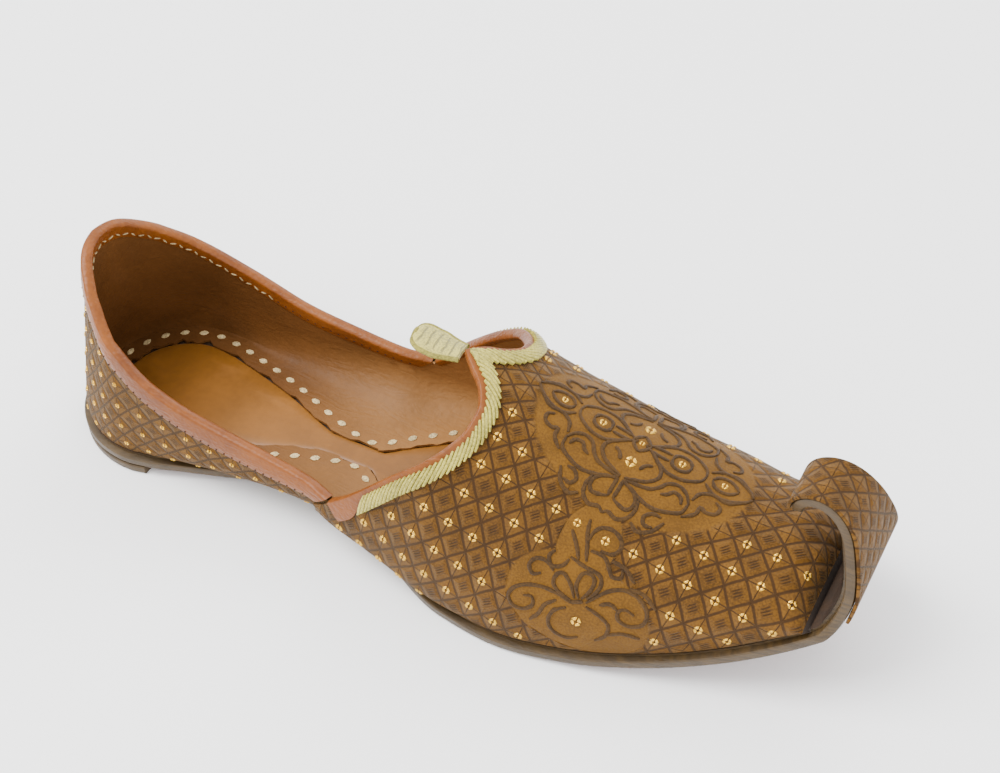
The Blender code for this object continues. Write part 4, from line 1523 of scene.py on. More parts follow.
def build_quarters():
    """The brocade round the heel, from one lap of the vamp to the other."""
    lines = part_lines("quarter")
    ahead = unit(lines[-1]["outer"][LOWER_STEPS] - lines[-3]["outer"][LOWER_STEPS])
    under = dict(lines[-1])
    under["outer"] = lines[-1]["outer"] + ahead * LAP_UNDER - lines[-1]["normal"] * 0.0001
    lines = lines + [under]
    near = [line["outer"] * MIRROR for line in lines[::-1]]
    far = [line["outer"] for line in lines]
    grid = np.array(near + far[1:])
    along = run_along(grid[:, LOWER_STEPS])
    along -= along[len(lines) - 1]
    up = np.array([run_along(row) for row in grid])
    flat = np.stack([np.repeat(along[:, None], grid.shape[1], 1), up], 2)
    mesh = grid_mesh("quarter_cloth", grid, flat)
    FLAT["quarter"] = FlatCloth(mesh)
    made = new_piece(mesh, ["upper"])
    thicken(made, CLOTH_THICKNESS)
    pitch = sizes_now().quarter_cell
    made.data.materials.append(
        brocade_material("quarter brocade", colours_now(), pitch, plain_cells)
    )


def unwrap(made):
    """Lays the mesh flat with little stretch, to true size, its middle line along U."""
    bpy.ops.object.select_all(action="DESELECT")
    made.select_set(True)
    bpy.context.view_layer.objects.active = made
    made.data.uv_layers.new(name="Flat")
    bpy.ops.object.mode_set(mode="EDIT")
    bpy.ops.mesh.select_all(action="SELECT")
    bpy.ops.uv.unwrap(method="CONFORMAL", margin=0.0)
    bpy.ops.object.mode_set(mode="OBJECT")
    mesh = made.data
    layer = mesh.uv_layers["Flat"].data
    places = np.array([entry.uv for entry in layer])
    solid_area = sum(polygon.area for polygon in mesh.polygons)
    flat_area = 0.0
    for polygon in mesh.polygons:
        ring = places[list(polygon.loop_indices)]
        after = np.roll(ring, -1, axis=0)
        flat_area += abs(float(np.sum(ring[:, 0] * after[:, 1] - ring[:, 1] * after[:, 0]))) / 2
    scale = math.sqrt(solid_area / flat_area)
    middle = {}
    for loop in mesh.loops:
        point = mesh.vertices[loop.vertex_index].co
        if abs(point.y) < 1e-6:
            middle[point.x] = places[loop.index]
    start, end = middle[min(middle)], middle[max(middle)]
    way = unit(end - start)
    side = np.array((-way[1], way[0]))
    moved = (places - start) * scale
    along, across = moved @ way, moved @ side
    heights = np.array([mesh.vertices[loop.vertex_index].co.y for loop in mesh.loops])
    if float(np.sum(across * heights)) < 0:
        across = -across
    for loop in mesh.loops:
        layer[loop.index].uv = (along[loop.index], across[loop.index])


# How the vamp's end is turned in at the nose: how far ahead, and shares of height and width
NOSE_ROUNDS = ((0.0007, 0.72, 0.97), (0.0012, 0.36, 0.94), (0.0014, 0.0, 0.93))


def build_vamp():
    """The brocade vamp from the lapped rear edges to the nose."""
    faces = []
    rows = [line["outer"] for line in LINES if line["part"] != "quarter"]
    for side in (1, -1):
        add_strips(faces, [row * (1, side, 1) for row in rows])
    cloth_faces = len(faces)
    rounds = [rows[-1]]
    floor = (0.0, 0.0, rows[-1][0][2])
    for ahead, tall, wide in NOSE_ROUNDS:
        rounds.append((rows[-1] - floor) * (1, wide, tall) + floor + (ahead, 0, 0))
    for side in (1, -1):
        add_strips(faces, [row * (1, side, 1) for row in rounds])
    kinds = [0] * cloth_faces + [1] * (len(faces) - cloth_faces)
    mesh = mesh_of("vamp_cloth", faces, 60, kinds)
    face_outward(mesh)
    made = new_piece(mesh, ["upper"])
    unwrap(made)
    FLAT["vamp"] = FlatCloth(made.data)
    thicken(made, CLOTH_THICKNESS)
    colours, pitch = colours_now(), sizes_now().cell
    made.data.materials.append(
        brocade_material("vamp brocade", colours, pitch, vamp_cells, SCROLL_PATCHES)
    )
    # Painted shade: the turned-in end sits in the hollow under the curl and is coloured near black for
    # the shade there
    dark = colours.brocade_dark
    shaded_turn_in = leather_material(
        "nose turn-in", shade(dark, 0.8), shade(dark, 0.4), pores=700.0, wrinkles=0.5, roughness=0.8
    )
    made.data.materials.append(shaded_turn_in)


def build_lining():
    """The lining with its foot turned in as the stitched flange, whose cut edge is uneven."""
    faces = []
    for side in (1, -1):
        rows = []
        for k, line in enumerate(LINES[:-UNLINED_LINES]):
            section = line["section"]
            floor = section["floor"] + FLANGE_THICKNESS
            wave = 0.00045 * math.sin(k * 1.1) + 0.0003 * math.sin(k * 2.3 + 1)
            if k < HEEL_STEPS and k % 7 in (2, 3):
                wave += 0.0013
            inner_edge = section["opening"] + wave
            foot = line["inner"][0]
            mid = line["place"]((section["opening"] + section["foot"] - WALL) / 2, floor)
            row = list(line["inner"][1:][::-1]) + [foot, mid, line["place"](inner_edge, floor)]
            rows.append([point * (1, side, 1) for point in row])
        add_strips(faces, rows)
    mesh = mesh_of("lining", faces, 60)
    face_outward(mesh)
    made = new_piece(mesh, ["upper"])
    thicken(made, LINING_THICKNESS, 1.0)
    colours = colours_now()
    # Painted shade: the lining is darker deep in the heel and paler toward the front
    leather = leather_material(
        "lining leather",
        colours.lining[:],
        shade(colours.lining, 0.7),
        pores=620.0,
        wrinkles=0.8,
        roughness=0.5,
        depth=0.00022,
        scuffs=0.15,
        front=colours.lining_front_unshaded[:],
        Specular_IOR_Level=0.2,
    )
    made.data.materials.append(leather)


def build_facing():
    """The strip of brocade on the outside of the curl."""
    levels = ((0.0003, -GAP - FACING_THICKNESS), (0.0, -GAP - FACING_THICKNESS * 0.7), (0.0, -GAP))
    end = SOLE_LENGTH + ROLLED_LENGTH
    outline = outline_of(half_width, FACING_FROM * SOLE_LENGTH, end, CURL_STEPS)
    mesh = plate("curl_facing", outline, levels, (0, 0, 0), 10)

    def place(point):
        u = float(SPINE_U[np.argmin((SPINE_X - point.x) ** 2 + (SPINE_Z - point.z) ** 2)])
        return u, point.y

    add_flat_uv(mesh, place)
    pitch = sizes_now().cell * 0.8
    cloth = brocade_material("facing brocade", colours_now(), pitch, plain_cells)
    new_piece(mesh, ["toe_curl_facing"], [cloth])


def edge_section(outer, inner, out, tip, width, inner_width, thick, lip):
    """A ring of points for leather folded over an edge: outer leg, round top, inner leg."""
    outside, inside = [], []
    steps = 6

    def thickness(share):
        """The leather's thickness, which thins at its cut edge."""
        return thick * (0.35 + 0.65 * min(share * 3, 1.0))

    for k in range(steps):
        share = k / (steps - 1)
        at = outer(width * (1 - share))
        swell = lip * math.sin(math.pi * min(share * 1.1, 1.0)) * 0.3
        outside.append(at[0] + at[1] * (GAP + thickness(share) + swell))
        inside.append(at[0] + at[1] * GAP * 0.5)
    top_out, top_in = outer(0.0), inner(0.0)
    middle = (top_out[0] + top_in[0]) / 2
    half = (np.linalg.norm(top_out[0] - top_in[0]) / 2) + GAP + thick
    arc = []
    for k in range(1, 10):
        turn = math.pi * k / 10
        tall = GAP + thick + lip
        arc.append(middle + out * half * math.cos(turn) + tip * tall * math.sin(turn))
    for k in range(steps):
        share = 1 - k / (steps - 1)
        at = inner(inner_width * (1 - share))
        arc.append(at[0] + at[1] * (GAP + thickness(share)))
        inside.append(at[0] + at[1] * GAP * 0.5)
    return outside + arc + inside[steps:][::-1] + inside[:steps][::-1]


def sweep(name, rings):
    """A closed mesh through rings of as many points each, on both sides of the shoe."""
    faces = []
    for side in (1, -1):
        own = [[np.array(point) * (1, side, 1) for point in ring] for ring in rings]
        for face in walls_between(own):
            add_quad(faces, *face)
        for ring in (own[0], own[-1]):
            if max(abs(point[1]) for point in ring) > 1e-6:
                add_quad(faces, *ring)
    return mesh_of(name, faces, 50)


def up_line(line, key, down, sign):
    """The point a distance down from the top of a line, and the way outward there."""
    points = line[key][::-1]
    run = run_along(points)
    way = unit(read_along(down, run, line["normal"][::-1]))
    return read_along(down, run, points), way * sign


def binding_material(colours):
    return leather_material(
        "binding leather",
        colours.binding[:],
        colours.binding_dark[:],
        pores=800.0,
        wrinkles=0.9,
        roughness=0.36,
        depth=0.0003,
        scuffs=0.35,
        Coat_Weight=0.04,
        Coat_Roughness=0.3,
        Specular_IOR_Level=0.25,
    )


def build_collar_binding():
    """Leather folded over the collar, with a rounded ridge on top."""
    rings = []
    lines = part_lines("quarter")
    last, before = lines[-1], lines[-2]
    share = BINDING_END / float(np.linalg.norm(last["base"][-1] - before["base"][-1]))
    keys = ("base", "inner", "normal")
    ended = {key: last[key] * (1 - share) + before[key] * share for key in keys}
    for line in lines[:-1] + [ended]:
        rings.append(
            edge_section(
                lambda down: up_line(line, "base", down, 1),
                lambda down: up_line(line, "inner", down, -1),
                out=line["normal"][-1],
                tip=unit(line["base"][-1] - line["base"][-2]),
                width=COLLAR_LEG,
                inner_width=COLLAR_WIDTH,
                thick=0.0006,
                lip=0.0003,
            )
        )
    mesh = sweep("collar_binding_leather", rings)
    new_piece(mesh, ["collar_binding"], [binding_material(colours_now())])


# Rows of needlework: on the inner face or the outer one, how far down from the collar, the
# way outward, from one stitch to the next, and the length of a stitch
NEEDLE_ROWS = (
    ("inner", 0.0036, -1, 0.0030, 0.0021),
    ("base", 0.0044, 1, 0.0026, 0.0007),
    ("base", 0.0066, 1, 0.0030, 0.0006),
)


def build_needlework():
    """The fine stitches and needle holes of the collar binding; the holes are raised marks painted
    near black for the shade inside them.
    """
    lines = part_lines("quarter")
    stitches, holes = [], []
    for key, down, sign, pitch, long in NEEDLE_ROWS:
        places = [up_line(line, key, down, sign) for line in lines]
        spots = np.array([point for point, _ in places])
        ways = np.array([way for _, way in places])
        run = run_along(spots)
        end = run[-1] - BINDING_END - 0.002
        for number, at in enumerate(np.arange(pitch / 2, end, pitch)):
            point = read_along(at, run, spots)
            ahead = read_along(at + 0.001, run, spots) - point
            way = unit(read_along(at, run, ways))
            point = point + way * (GAP + 0.0006)
            lean = unit(ahead) + np.cross(way, unit(ahead)) * (0.5 if number % 2 else -0.5)
            if key == "inner" and at < STITCHED_PART * run[-1]:
                stitches += with_mirror(lozenge(point, lean, way, long, 0.0005, 0.0003))
            else:
                length = min(long, 0.0008)
                holes += with_mirror(lozenge(point, ahead, way, length, 0.0006, 0.00006))
    colours = colours_now()
    thread = thread_material("collar thread", shade(colours.stitch, 0.6), 2600.0, 0.5)
    new_piece(quick_mesh("collar_stitches", stitches), (), [thread])
    # Painted shade: the needle holes are not cut, so their marks are coloured near black for the shade
    # inside a hole
    hole_shade = leather_material(
        "needle hole",
        shade(colours.binding_dark, 0.25),
        shade(colours.binding_dark, 0.12),
        pores=900.0,
        wrinkles=0.2,
        roughness=0.8,
    )
    new_piece(quick_mesh("collar_needle_holes", holes), (), [hole_shade])


def throat_frames():
    """Along the throat's edge: its point, outward, away from the opening, and the raise."""
    lines = part_lines("throat")
    edge = [over(bed_x(row["along"]), math.radians(row["turn"])) for row in throat_rows()]
    frames = []
    for k in range(len(edge)):
        after = edge[k + 1] if k + 1 < len(edge) else edge[k - 1] * MIRROR
        before = edge[k - 1] if k else edge[0]
        way = after - before
        point, out = on_face(edge[k], 0.0)
        into = unit(np.cross(out, way))
        if k == len(edge) - 1:
            out = np.array((out[0], 0.0, out[2])) / math.hypot(out[0], out[2])
            into = np.array((out[2], 0.0, -out[0])) / math.sin(POINT_HALF_ANGLE)
        frames.append({"point": point, "out": out, "into": into, "raised": lines[k]["raised"]})
    for entry, run in zip(frames, run_along(edge)):
        entry["run"] = float(run)
    return frames


def build_throat_binding():
    """Leather folded over the throat's edge, wider at the corner where the braid begins."""
    frames = throat_frames()
    start = 0.36
    first = {key: row * (1 - start) + frames[1][key] * start for key, row in frames[0].items()}
    rings = []
    for entry in [first] + frames[1:]:
        point, into, raised = entry["point"], entry["into"], entry["raised"]
        corner = 1 - float(ease((entry["run"] - 0.006) / 0.012))
        width = THROAT_WIDTH + (CORNER_WIDTH - THROAT_WIDTH) * corner

        def outer(down):
            spot, way = on_face(point + into * down, 0.0)
            return spot + way * raised, way

        def inner(down):
            spot, way = on_face(point + into * down, 0.0)
            return spot - way * WALL, -way

        rings.append(
            edge_section(
                outer,
                inner,
                out=entry["out"],
                tip=-unit(into),
                width=width,
                inner_width=THROAT_WIDTH * 0.75,
                thick=0.0004,
                lip=0.0,
            )
        )
    mesh = sweep("throat_binding_leather", rings)
    new_piece(mesh, ["throat_binding"], [binding_material(colours_now())])


def build_braid():
    """Long slanted strands of pale thread, laid one over the next along the throat."""
    sizes = sizes_now()
    frames = throat_frames()
    whole = frames[-1]["run"]
    runs = [entry["run"] for entry in frames]

    def at(run, across, lift):
        k = int(np.clip(np.searchsorted(runs, run) - 1, 0, len(runs) - 2))
        t = (run - runs[k]) / (runs[k + 1] - runs[k])
        a, b = frames[k], frames[k + 1]
        point = a["point"] + (b["point"] - a["point"]) * t
        into = unit(a["into"] + (unit(b["into"]) - unit(a["into"])) * t)
        raised = a["raised"] + (b["raised"] - a["raised"]) * t
        spot, way = on_face(point + into * across, 0.0)
        return spot + way * (raised + lift), way

    shares = np.linspace(0.06, 0.94, 9)
    widths = [STRAND_WIDTH * (0.38 + 0.55 * math.sin(math.pi * t) ** 0.6) for t in shares]
    faces = []
    run = BRAID_START
    number = 0
    while run < whole - 0.001:
        points, ups = [], []
        for t in np.linspace(0, 1, 9):
            across = BRAID_INSET + BRAID_WIDTH * (1 - t)
            place = min(run + sizes.strand_length * t, whole)
            arch = math.sin(math.pi * (0.1 + 0.8 * t))
            spot, way = at(place, across, 0.0003 + 0.0004 * t + 0.0006 * arch)
            points.append(spot)
            ups.append(way)
        if math.dist(points[0], points[-1]) > 0.002:
            faces += with_mirror(rod(points, ups, widths, BRAID_THICKNESS, 10, 0.0006))
        run += sizes.strand_pitch * (1 + 0.10 * math.sin(number * 2.1))
        number += 1
    thread = thread_material(
        "braid thread", colours_now().braid[:], 2400.0, 0.36, Coat_Weight=0.3, Coat_Roughness=0.3
    )
    new_piece(quick_mesh("braid_strands", faces), ["throat_braid"], [thread])


def build_tab():
    """The woven pull tab, rounded at its end, with a corded edge."""
    peak = throat_frames()[-1]["point"]
    root = peak - np.array((BINDING_THICKNESS + GAP, 0.0, 0.0))
    steps, across = 26, 12
    top = np.zeros((steps + 1, across + 1, 3))
    flat = np.zeros((steps + 1, across + 1, 2))
    for i in range(steps + 1):
        share = math.sin(math.pi / 2 * i / steps) if i else 0.0
        half = TAB_WIDTH / 2 * float(through(TAB_OUTLINE, "half", share))
        for j in range(across + 1):
            side = 2 * j / across - 1
            x = root[0] - TAB_LENGTH * share
            z = root[2] + TAB_RISE * share - 0.0007 * side**2 - 0.0008 * math.sin(math.pi * share)
            top[i, j] = (x, half * side, z)
            flat[i, j] = (TAB_LENGTH * share, half * side)
    made = new_piece(grid_mesh("tab_cloth", top, flat), ["throat_tab"])
    thicken(made, TAB_THICKNESS - 0.0004)
    made.data.materials.append(tab_material(colours_now()))
    rim = [*top[:, 0], *top[-1, 1:across], *top[::-1, -1]]
    rim = smooth_path(rim, 0.0006)
    path = rim - (0.0, 0.0, TAB_THICKNESS / 2 - 0.0002)
    ups = [np.array((0.0, 0.0, 1.0))] * len(rim)
    cord = rod(path, ups, [CORD_WIDTH] * len(rim), CORD_HEIGHT, 8, CORD_HEIGHT)
    thread = thread_material("tab edge thread", shade(colours_now().braid, 0.62), 2800.0, 0.5)
    new_piece(quick_mesh("tab_edge_cord", cord), (), [thread])


def tab_material(colours):
    """Pale gold weave with dark strokes across it."""
    material, tree, shader = start_material("tab weave", Sheen_Weight=0.3)
    flat = flat_place(tree)
    weave = effect(tree, "Thread Weave", {"Place": flat, "Threads": 1900.0})
    parts = add(tree, "ShaderNodeSeparateXYZ", {0: flat})
    drift = clouds(tree, flat, 260.0, 2.0)
    along = plus(tree, parts.outputs[0], times(tree, drift.outputs[0], 0.0016))
    bands = minus(tree, calc(tree, "FRACT", times(tree, along, 380.0)), 0.5)
    bands = calc(tree, "ABSOLUTE", bands)
    side = fade(tree, calc(tree, "ABSOLUTE", parts.outputs[1]), 0.0028, 0.0040, 1.0, 0.0)
    stroke = times(tree, fade(tree, bands, 0.06, 0.17, 1.0, 0.0), side)
    tone = fade(tree, weave.outputs["Tone"], 0.38, 0.6)
    paint = blend(tree, tone, shade(colours.braid, 0.62), shade(colours.braid, 1.1))
    paint = blend(tree, times(tree, stroke, 0.75), paint, shade(colours.braid, 0.26))
    gloss = fade(tree, weave.outputs["Height"], 0.0, 1.0, 0.6, 0.4)
    height = minus(tree, times(tree, weave.outputs["Height"], 0.4), stroke)
    finish_shader(tree, shader, paint, gloss, bump(tree, height, 0.7, 0.0003))
    return material


def sole_ring(inset, height, pitch, front):
    """Places of the stitches round the sole: point, way along and way up."""

    def half(u):
        return max(float(half_width(u)) - inset, 0.001)

    side = outline_of(half, inset, front, 160, HEEL_RADIUS - inset)
    flat = np.array([(u, -y) for u, y in side[::-1]] + side[1:])
    run = run_along(flat)
    count = int(run[-1] / pitch)

    def point_at(place):
        u, y = read_along(min(max(place, 0), run[-1]), run, flat)
        return on_sole(u, y, height(u)), u

    places = []
    for k in range(count + 1):
        at = run[-1] * k / count
        point, u = point_at(at)
        way = point_at(at + 0.001)[0] - point_at(at - 0.001)[0]
        slope = float(np.interp(u, SPINE_U, SPINE_SLOPE))
        places.append((point, way, np.array((-math.sin(slope), 0.0, math.cos(slope)))))
    return places


def build_stitches():
    """Cream sole stitches on the flange and under the sole."""
    sizes = sizes_now()
    thread = thread_material("stitch thread", colours_now().stitch[:], 2400.0, 0.45)

    def on_flange(u):
        return BED_HEIGHT + FLANGE_THICKNESS + 0.0001

    def below(u):
        return -LIFT_THICKNESS if u < LIFT_LENGTH else 0.0

    faces = []
    inset, front = FEATHER_INSET + 0.0050, 0.86 * SOLE_LENGTH
    for point, way, up in sole_ring(inset, on_flange, sizes.stitch_pitch, front):
        lean = way + np.cross(up, way) * 0.25
        faces += lozenge(point, lean, up, sizes.stitch_length, 0.0021, 0.0004)
    new_piece(quick_mesh("flange_stitches", faces), (), [thread])
    faces = []
    inset, front = FEATHER_INSET + 0.0044, 0.985 * SOLE_LENGTH
    for point, way, up in sole_ring(inset, below, sizes.stitch_pitch, front):
        lean = way + np.cross(up, way) * 0.35
        sunk = point + up * 0.00008
        faces += lozenge(sunk, lean, -up, sizes.stitch_length * 0.9, 0.0022, 0.00007)
    new_piece(quick_mesh("sole_stitches", faces), (), [thread])


# A sequin's rings from its open middle outward: share of its radius, and height
SEQUIN_RINGS = ((0.36, 0.00002), (0.40, 0.00030), (0.70, 0.00042), (0.96, 0.00024), (1.0, 0.0))


def sequin(point, out, along, width):
    """The faces of one gilt sequin: a ring round an open middle, sewn down at four places."""
    out, along = unit(out), unit(along)
    along = unit(along - out * float(along.dot(out)))
    side = np.cross(out, along)
    count = 16
    rings = []
    for radius, height in SEQUIN_RINGS:
        ring = []
        for k in range(count):
            turn = 2 * math.pi * k / count
            petal = 1 + 0.05 * math.cos(4 * turn) * min(radius / 0.7, 1.0)
            way = along * math.cos(turn) + side * math.sin(turn)
            spot = point + way * width / 2 * radius * petal
            sewn_down = k % 4 == 0
            ring.append(spot + out * (-0.0003 if sewn_down else height))
        rings.append(ring)
    low = [spot - out * 0.0004 for spot in rings[-1]]
    low_in = [spot - out * 0.0004 for spot in rings[0]]
    return walls_between([low_in] + rings + [low, low_in])


# Patches of the vamp's flat cloth that carry scrolls: middle and half size in millimetres,
# ahead of the throat's point and aside from the pattern's middle line
SCROLL_PATCHES = (
    ((61.3, 0.0), (36.0, 26.5)),
    ((62.5, 37.0), (9.0, 12.0)),
    ((69.0, 57.5), (23.0, 16.0)),
)

# The medallion's scrolls in a quarter of it, charted in millimetres from its middle:
# ahead of it and aside from it
MEDALLION = (
    ((1.5, 0.2), (4.0, 1.4), (7.6, 4.2), (11.3, 6.0), (16.5, 5.6), (20.9, 2.8), (21.9, 0.0)),
    ((10.6, 0.0), (11.2, 2.2), (13.6, 3.1), (16.0, 2.2), (16.9, 0.0)),
    ((3.6, 1.1), (6.5, 1.5), (9.8, 1.5)),
    ((24.0, 0.2), (25.4, 2.1), (27.9, 2.8), (30.4, 2.1), (32.4, 0.2)),
    ((22.6, 2.6), (26.0, 5.0), (30.6, 4.9), (35.0, 2.6), (37.0, 0.4)),
    ((0.0, 3.9), (2.0, 1.9), (3.1, 0.0)),
    ((6.3, 3.8), (9.1, 6.0), (9.8, 9.0), (7.5, 11.9), (3.8, 13.5), (0.7, 14.4)),
    ((6.5, 6.3), (4.5, 7.4), (3.4, 9.6)),
    (
        (21.3, 12.0), (19.4, 9.4), (16.3, 8.1), (13.2, 9.2), (11.3, 11.9), (8.8, 13.8),
        (3.8, 14.7), (0.8, 15.0),
    ),
    ((21.3, 12.0), (20.7, 15.6), (16.9, 17.7), (12.5, 18.8), (8.2, 18.1), (3.8, 16.4), (0.9, 15.2)),
    ((19.4, 13.4), (18.4, 11.4), (16.0, 10.8), (14.4, 12.6), (12.6, 13.5)),
    ((34.6, 3.4), (30.7, 5.6), (26.3, 5.2), (22.9, 6.9), (21.6, 10.4)),
    (
        (28.0, 7.2), (30.0, 8.4), (29.6, 10.8), (26.8, 11.8), (24.8, 11.0), (24.6, 13.6),
        (23.0, 15.4), (21.2, 16.8),
    ),
    ((0.9, 15.4), (1.0, 18.5), (0.9, 21.8)),
    ((1.2, 15.8), (4.4, 16.6), (7.0, 18.7), (7.4, 21.4), (5.8, 23.2), (2.6, 22.6), (1.0, 21.9)),
    ((8.0, 18.4), (8.6, 22.0), (7.6, 25.2), (4.8, 27.0), (1.6, 26.2), (0.0, 27.4)),
    ((16.3, 20.0), (13.6, 20.2), (11.8, 22.3), (13.0, 24.4), (15.6, 24.0)),
    ((18.0, 21.0), (15.8, 25.2), (12.0, 27.2), (9.2, 25.6)),
)

# The palmette on each flank, charted in millimetres: ahead of the throat's point and
# aside from the pattern's middle line
PALMETTE = (
    (
        (62.3, 36.5), (62.5, 33.6), (64.2, 31.2), (67.5, 30.4), (70.6, 31.6), (72.0, 34.0),
        (70.6, 36.8), (67.0, 37.6),
    ),
    ((56.3, 36.3), (60.0, 40.0), (62.5, 43.2)),
    ((59.6, 30.8), (60.8, 34.6), (62.6, 38.0), (64.8, 42.6)),
    ((64.4, 39.0), (68.8, 38.6), (71.6, 40.6), (73.8, 42.6), (76.4, 41.4), (75.6, 39.2)),
    ((71.6, 38.4), (76.4, 38.6), (80.6, 40.8)),
    ((60.0, 43.8), (65.0, 44.2), (70.4, 44.2), (72.2, 46.8), (71.8, 50.0), (70.4, 52.8)),
    ((68.2, 54.0), (65.8, 50.8), (65.6, 46.8), (67.6, 45.2), (69.9, 46.4), (70.2, 50.0), (69.0, 53.6)),
    ((67.0, 54.6), (64.2, 51.4), (60.8, 49.4), (59.0, 50.6), (59.2, 53.6), (62.0, 55.4), (66.4, 55.8)),
    (
        (70.8, 54.0), (73.0, 50.0), (75.6, 46.4), (79.6, 44.0), (84.6, 44.2), (88.0, 47.0),
        (88.4, 51.0), (85.2, 53.8), (81.6, 53.6), (80.4, 51.2), (82.0, 49.4), (85.0, 49.6),
    ),
    ((74.6, 52.4), (77.2, 50.4), (80.0, 51.0)),
    ((71.3, 55.2), (75.8, 55.6), (79.8, 57.2), (80.6, 61.2), (78.6, 65.0)),
    ((81.0, 60.6), (84.6, 57.6), (89.8, 56.2)),
    (
        (66.6, 56.6), (62.0, 56.2), (57.0, 56.8), (52.6, 58.8), (49.8, 61.6), (49.0, 65.2),
        (51.4, 67.8), (55.0, 67.2), (57.0, 64.2), (55.6, 61.6), (53.2, 62.6),
    ),
    ((62.6, 58.2), (60.2, 61.8), (59.8, 65.8), (58.4, 69.6)),
    ((66.2, 58.8), (63.4, 62.0), (63.4, 66.4), (66.2, 69.2), (70.6, 69.4), (73.6, 66.8)),
    ((57.6, 50.4), (54.6, 48.8), (51.2, 49.6), (50.2, 52.6), (52.4, 54.6), (54.6, 53.0)),
    ((55.0, 44.4), (54.2, 47.0), (56.4, 49.2), (59.2, 47.4), (60.0, 44.6)),
    ((80.0, 43.0), (85.0, 42.4), (89.6, 44.6)),
    ((66.4, 56.6), (69.8, 54.2)),
)

# Sequins among the scrolls: ahead of the throat's point, aside from the middle line, in
# millimetres, and their width as a share of the others'
SCROLL_SEQUINS = (
    (33.6, 0.0, 0.8),
    (47.5, 0.0, 0.9),
    (61.3, 0.0, 0.7),
    (75.1, 0.0, 0.9),
    (89.2, 0.0, 0.8),
    (61.3, 8.5, 1.3),
    (56.6, 33.8, 0.9),
    (66.8, 34.3, 1.0),
    (70.9, 61.6, 1.15),
)


def in_patch(along, aside, margin=0.0):
    """Whether a flat place of the vamp, in millimetres, is in one of the scroll patches."""
    for (at, off), (half_along, half_aside) in SCROLL_PATCHES:
        ahead = abs((along - at) / (half_along + margin))
        outward = abs((aside - off) / (half_aside + margin))
        if ahead**PATCH_POWER + outward**PATCH_POWER < 1:
            return True
    return False


def row_aside(row):
    """How far a row of crossed cells is from the middle line, in millimetres."""
    return ((ROW_GROWTH * row + math.sqrt((ROW_GROWTH * row) ** 2 + 4 * ROW_HEIGHT * row)) / 2) ** 2


def vamp_place(along, aside, side, lift=0.0):
    """The point of the vamp at a place of its pattern, on the near (-1) or far (+1) side."""
    return FLAT["vamp"].at(along * MILLIMETRE, (MIDDLE_LINE + side * aside) * MILLIMETRE, lift)


def build_scrolls():
    """The raised scrolls of the medallion and the palmettes."""
    if "vamp" not in FLAT:
        raise RuntimeError("build the vamp before the scrolls")
    width = sizes_now().scroll_width
    strokes = []
    for stroke in MEDALLION:
        for way in (1, -1):
            strokes.append([(MEDALLION_AT + way * ahead, aside) for ahead, aside in stroke])
    strokes += PALMETTE
    faces = []
    for stroke in strokes:
        path = smooth_path(stroke, 0.6)
        for side in (-1, 1):
            places = [vamp_place(along, aside, side, 0.00005) for along, aside in path]
            places = [place for place in places if place[2] < 1e-4]
            if len(places) < 4:
                continue
            points, ups = [place[0] for place in places], [place[1] for place in places]
            shares = np.linspace(0, 1, len(points))
            ends = [0.5 + 0.5 * min(1.0, 6 * min(t, 1 - t)) for t in shares]
            widths = [width * end * (1 + 0.08 * math.sin(40 * t)) for end, t in zip(ends, shares)]
            faces += rod(points, ups, widths, SCROLL_HEIGHT, 8, 0.0003)
    thread = thread_material("scroll thread", colours_now().scroll[:], 2400.0, 0.6)
    new_piece(quick_mesh("scroll_thread", faces), (), [thread])


def build_sequins():
    """Gilt sequins in the crossed cells of the brocade and among the scrolls."""
    if "vamp" not in FLAT or "quarter" not in FLAT:
        raise RuntimeError("build the vamp and the quarters before the sequins")
    sizes = sizes_now()
    faces = []

    def sew(along, aside, side, share):
        point, out, off = vamp_place(along, aside, side)
        ahead = vamp_place(along + 1.0, aside, side)[0] - point
        if off > TOUCHING or float(np.linalg.norm(ahead)) < 1e-5:
            return
        for step_along, step_aside in SEQUIN_ROOM:
            room_off = vamp_place(along + step_along, aside + step_aside, side)[2]
            if share == 1 and room_off > TOUCHING:
                return
        faces.extend(sequin(point, out, ahead, sizes.sequin * share))

    pitch = sizes.cell / MILLIMETRE
    for row in VAMP_ROWS:
        for step in VAMP_STEPS_ALONG:
            along, aside = FIRST_CELL + pitch * step, row_aside(row)
            if not in_patch(along, aside, 1.5):
                for side in (-1, 1):
                    sew(along, aside, side, 1)
    for along, aside, share in SCROLL_SEQUINS:
        for side in (-1, 1) if aside else (1,):
            sew(along, aside, side, share)
    cloth = FLAT["quarter"]
    for step in QUARTER_STEPS_ALONG:
        for row in QUARTER_ROWS:
            u, v = sizes.quarter_cell * step, FIRST_ROW + sizes.quarter_cell * row
            point, out, off = cloth.at(u, v)
            under_binding = cloth.at(u, v + COLLAR_LEG + 0.0015)[2] > TOUCHING
            if off > TOUCHING or under_binding or v < 0.002:
                continue
            ahead = cloth.at(u + 0.001, v)[0] - point
            if float(np.linalg.norm(ahead)) > TOUCHING:
                faces.extend(sequin(point, out, ahead, sizes.sequin * 0.62))
    new_piece(quick_mesh("sequins", faces), (), [gilt_material(colours_now())])


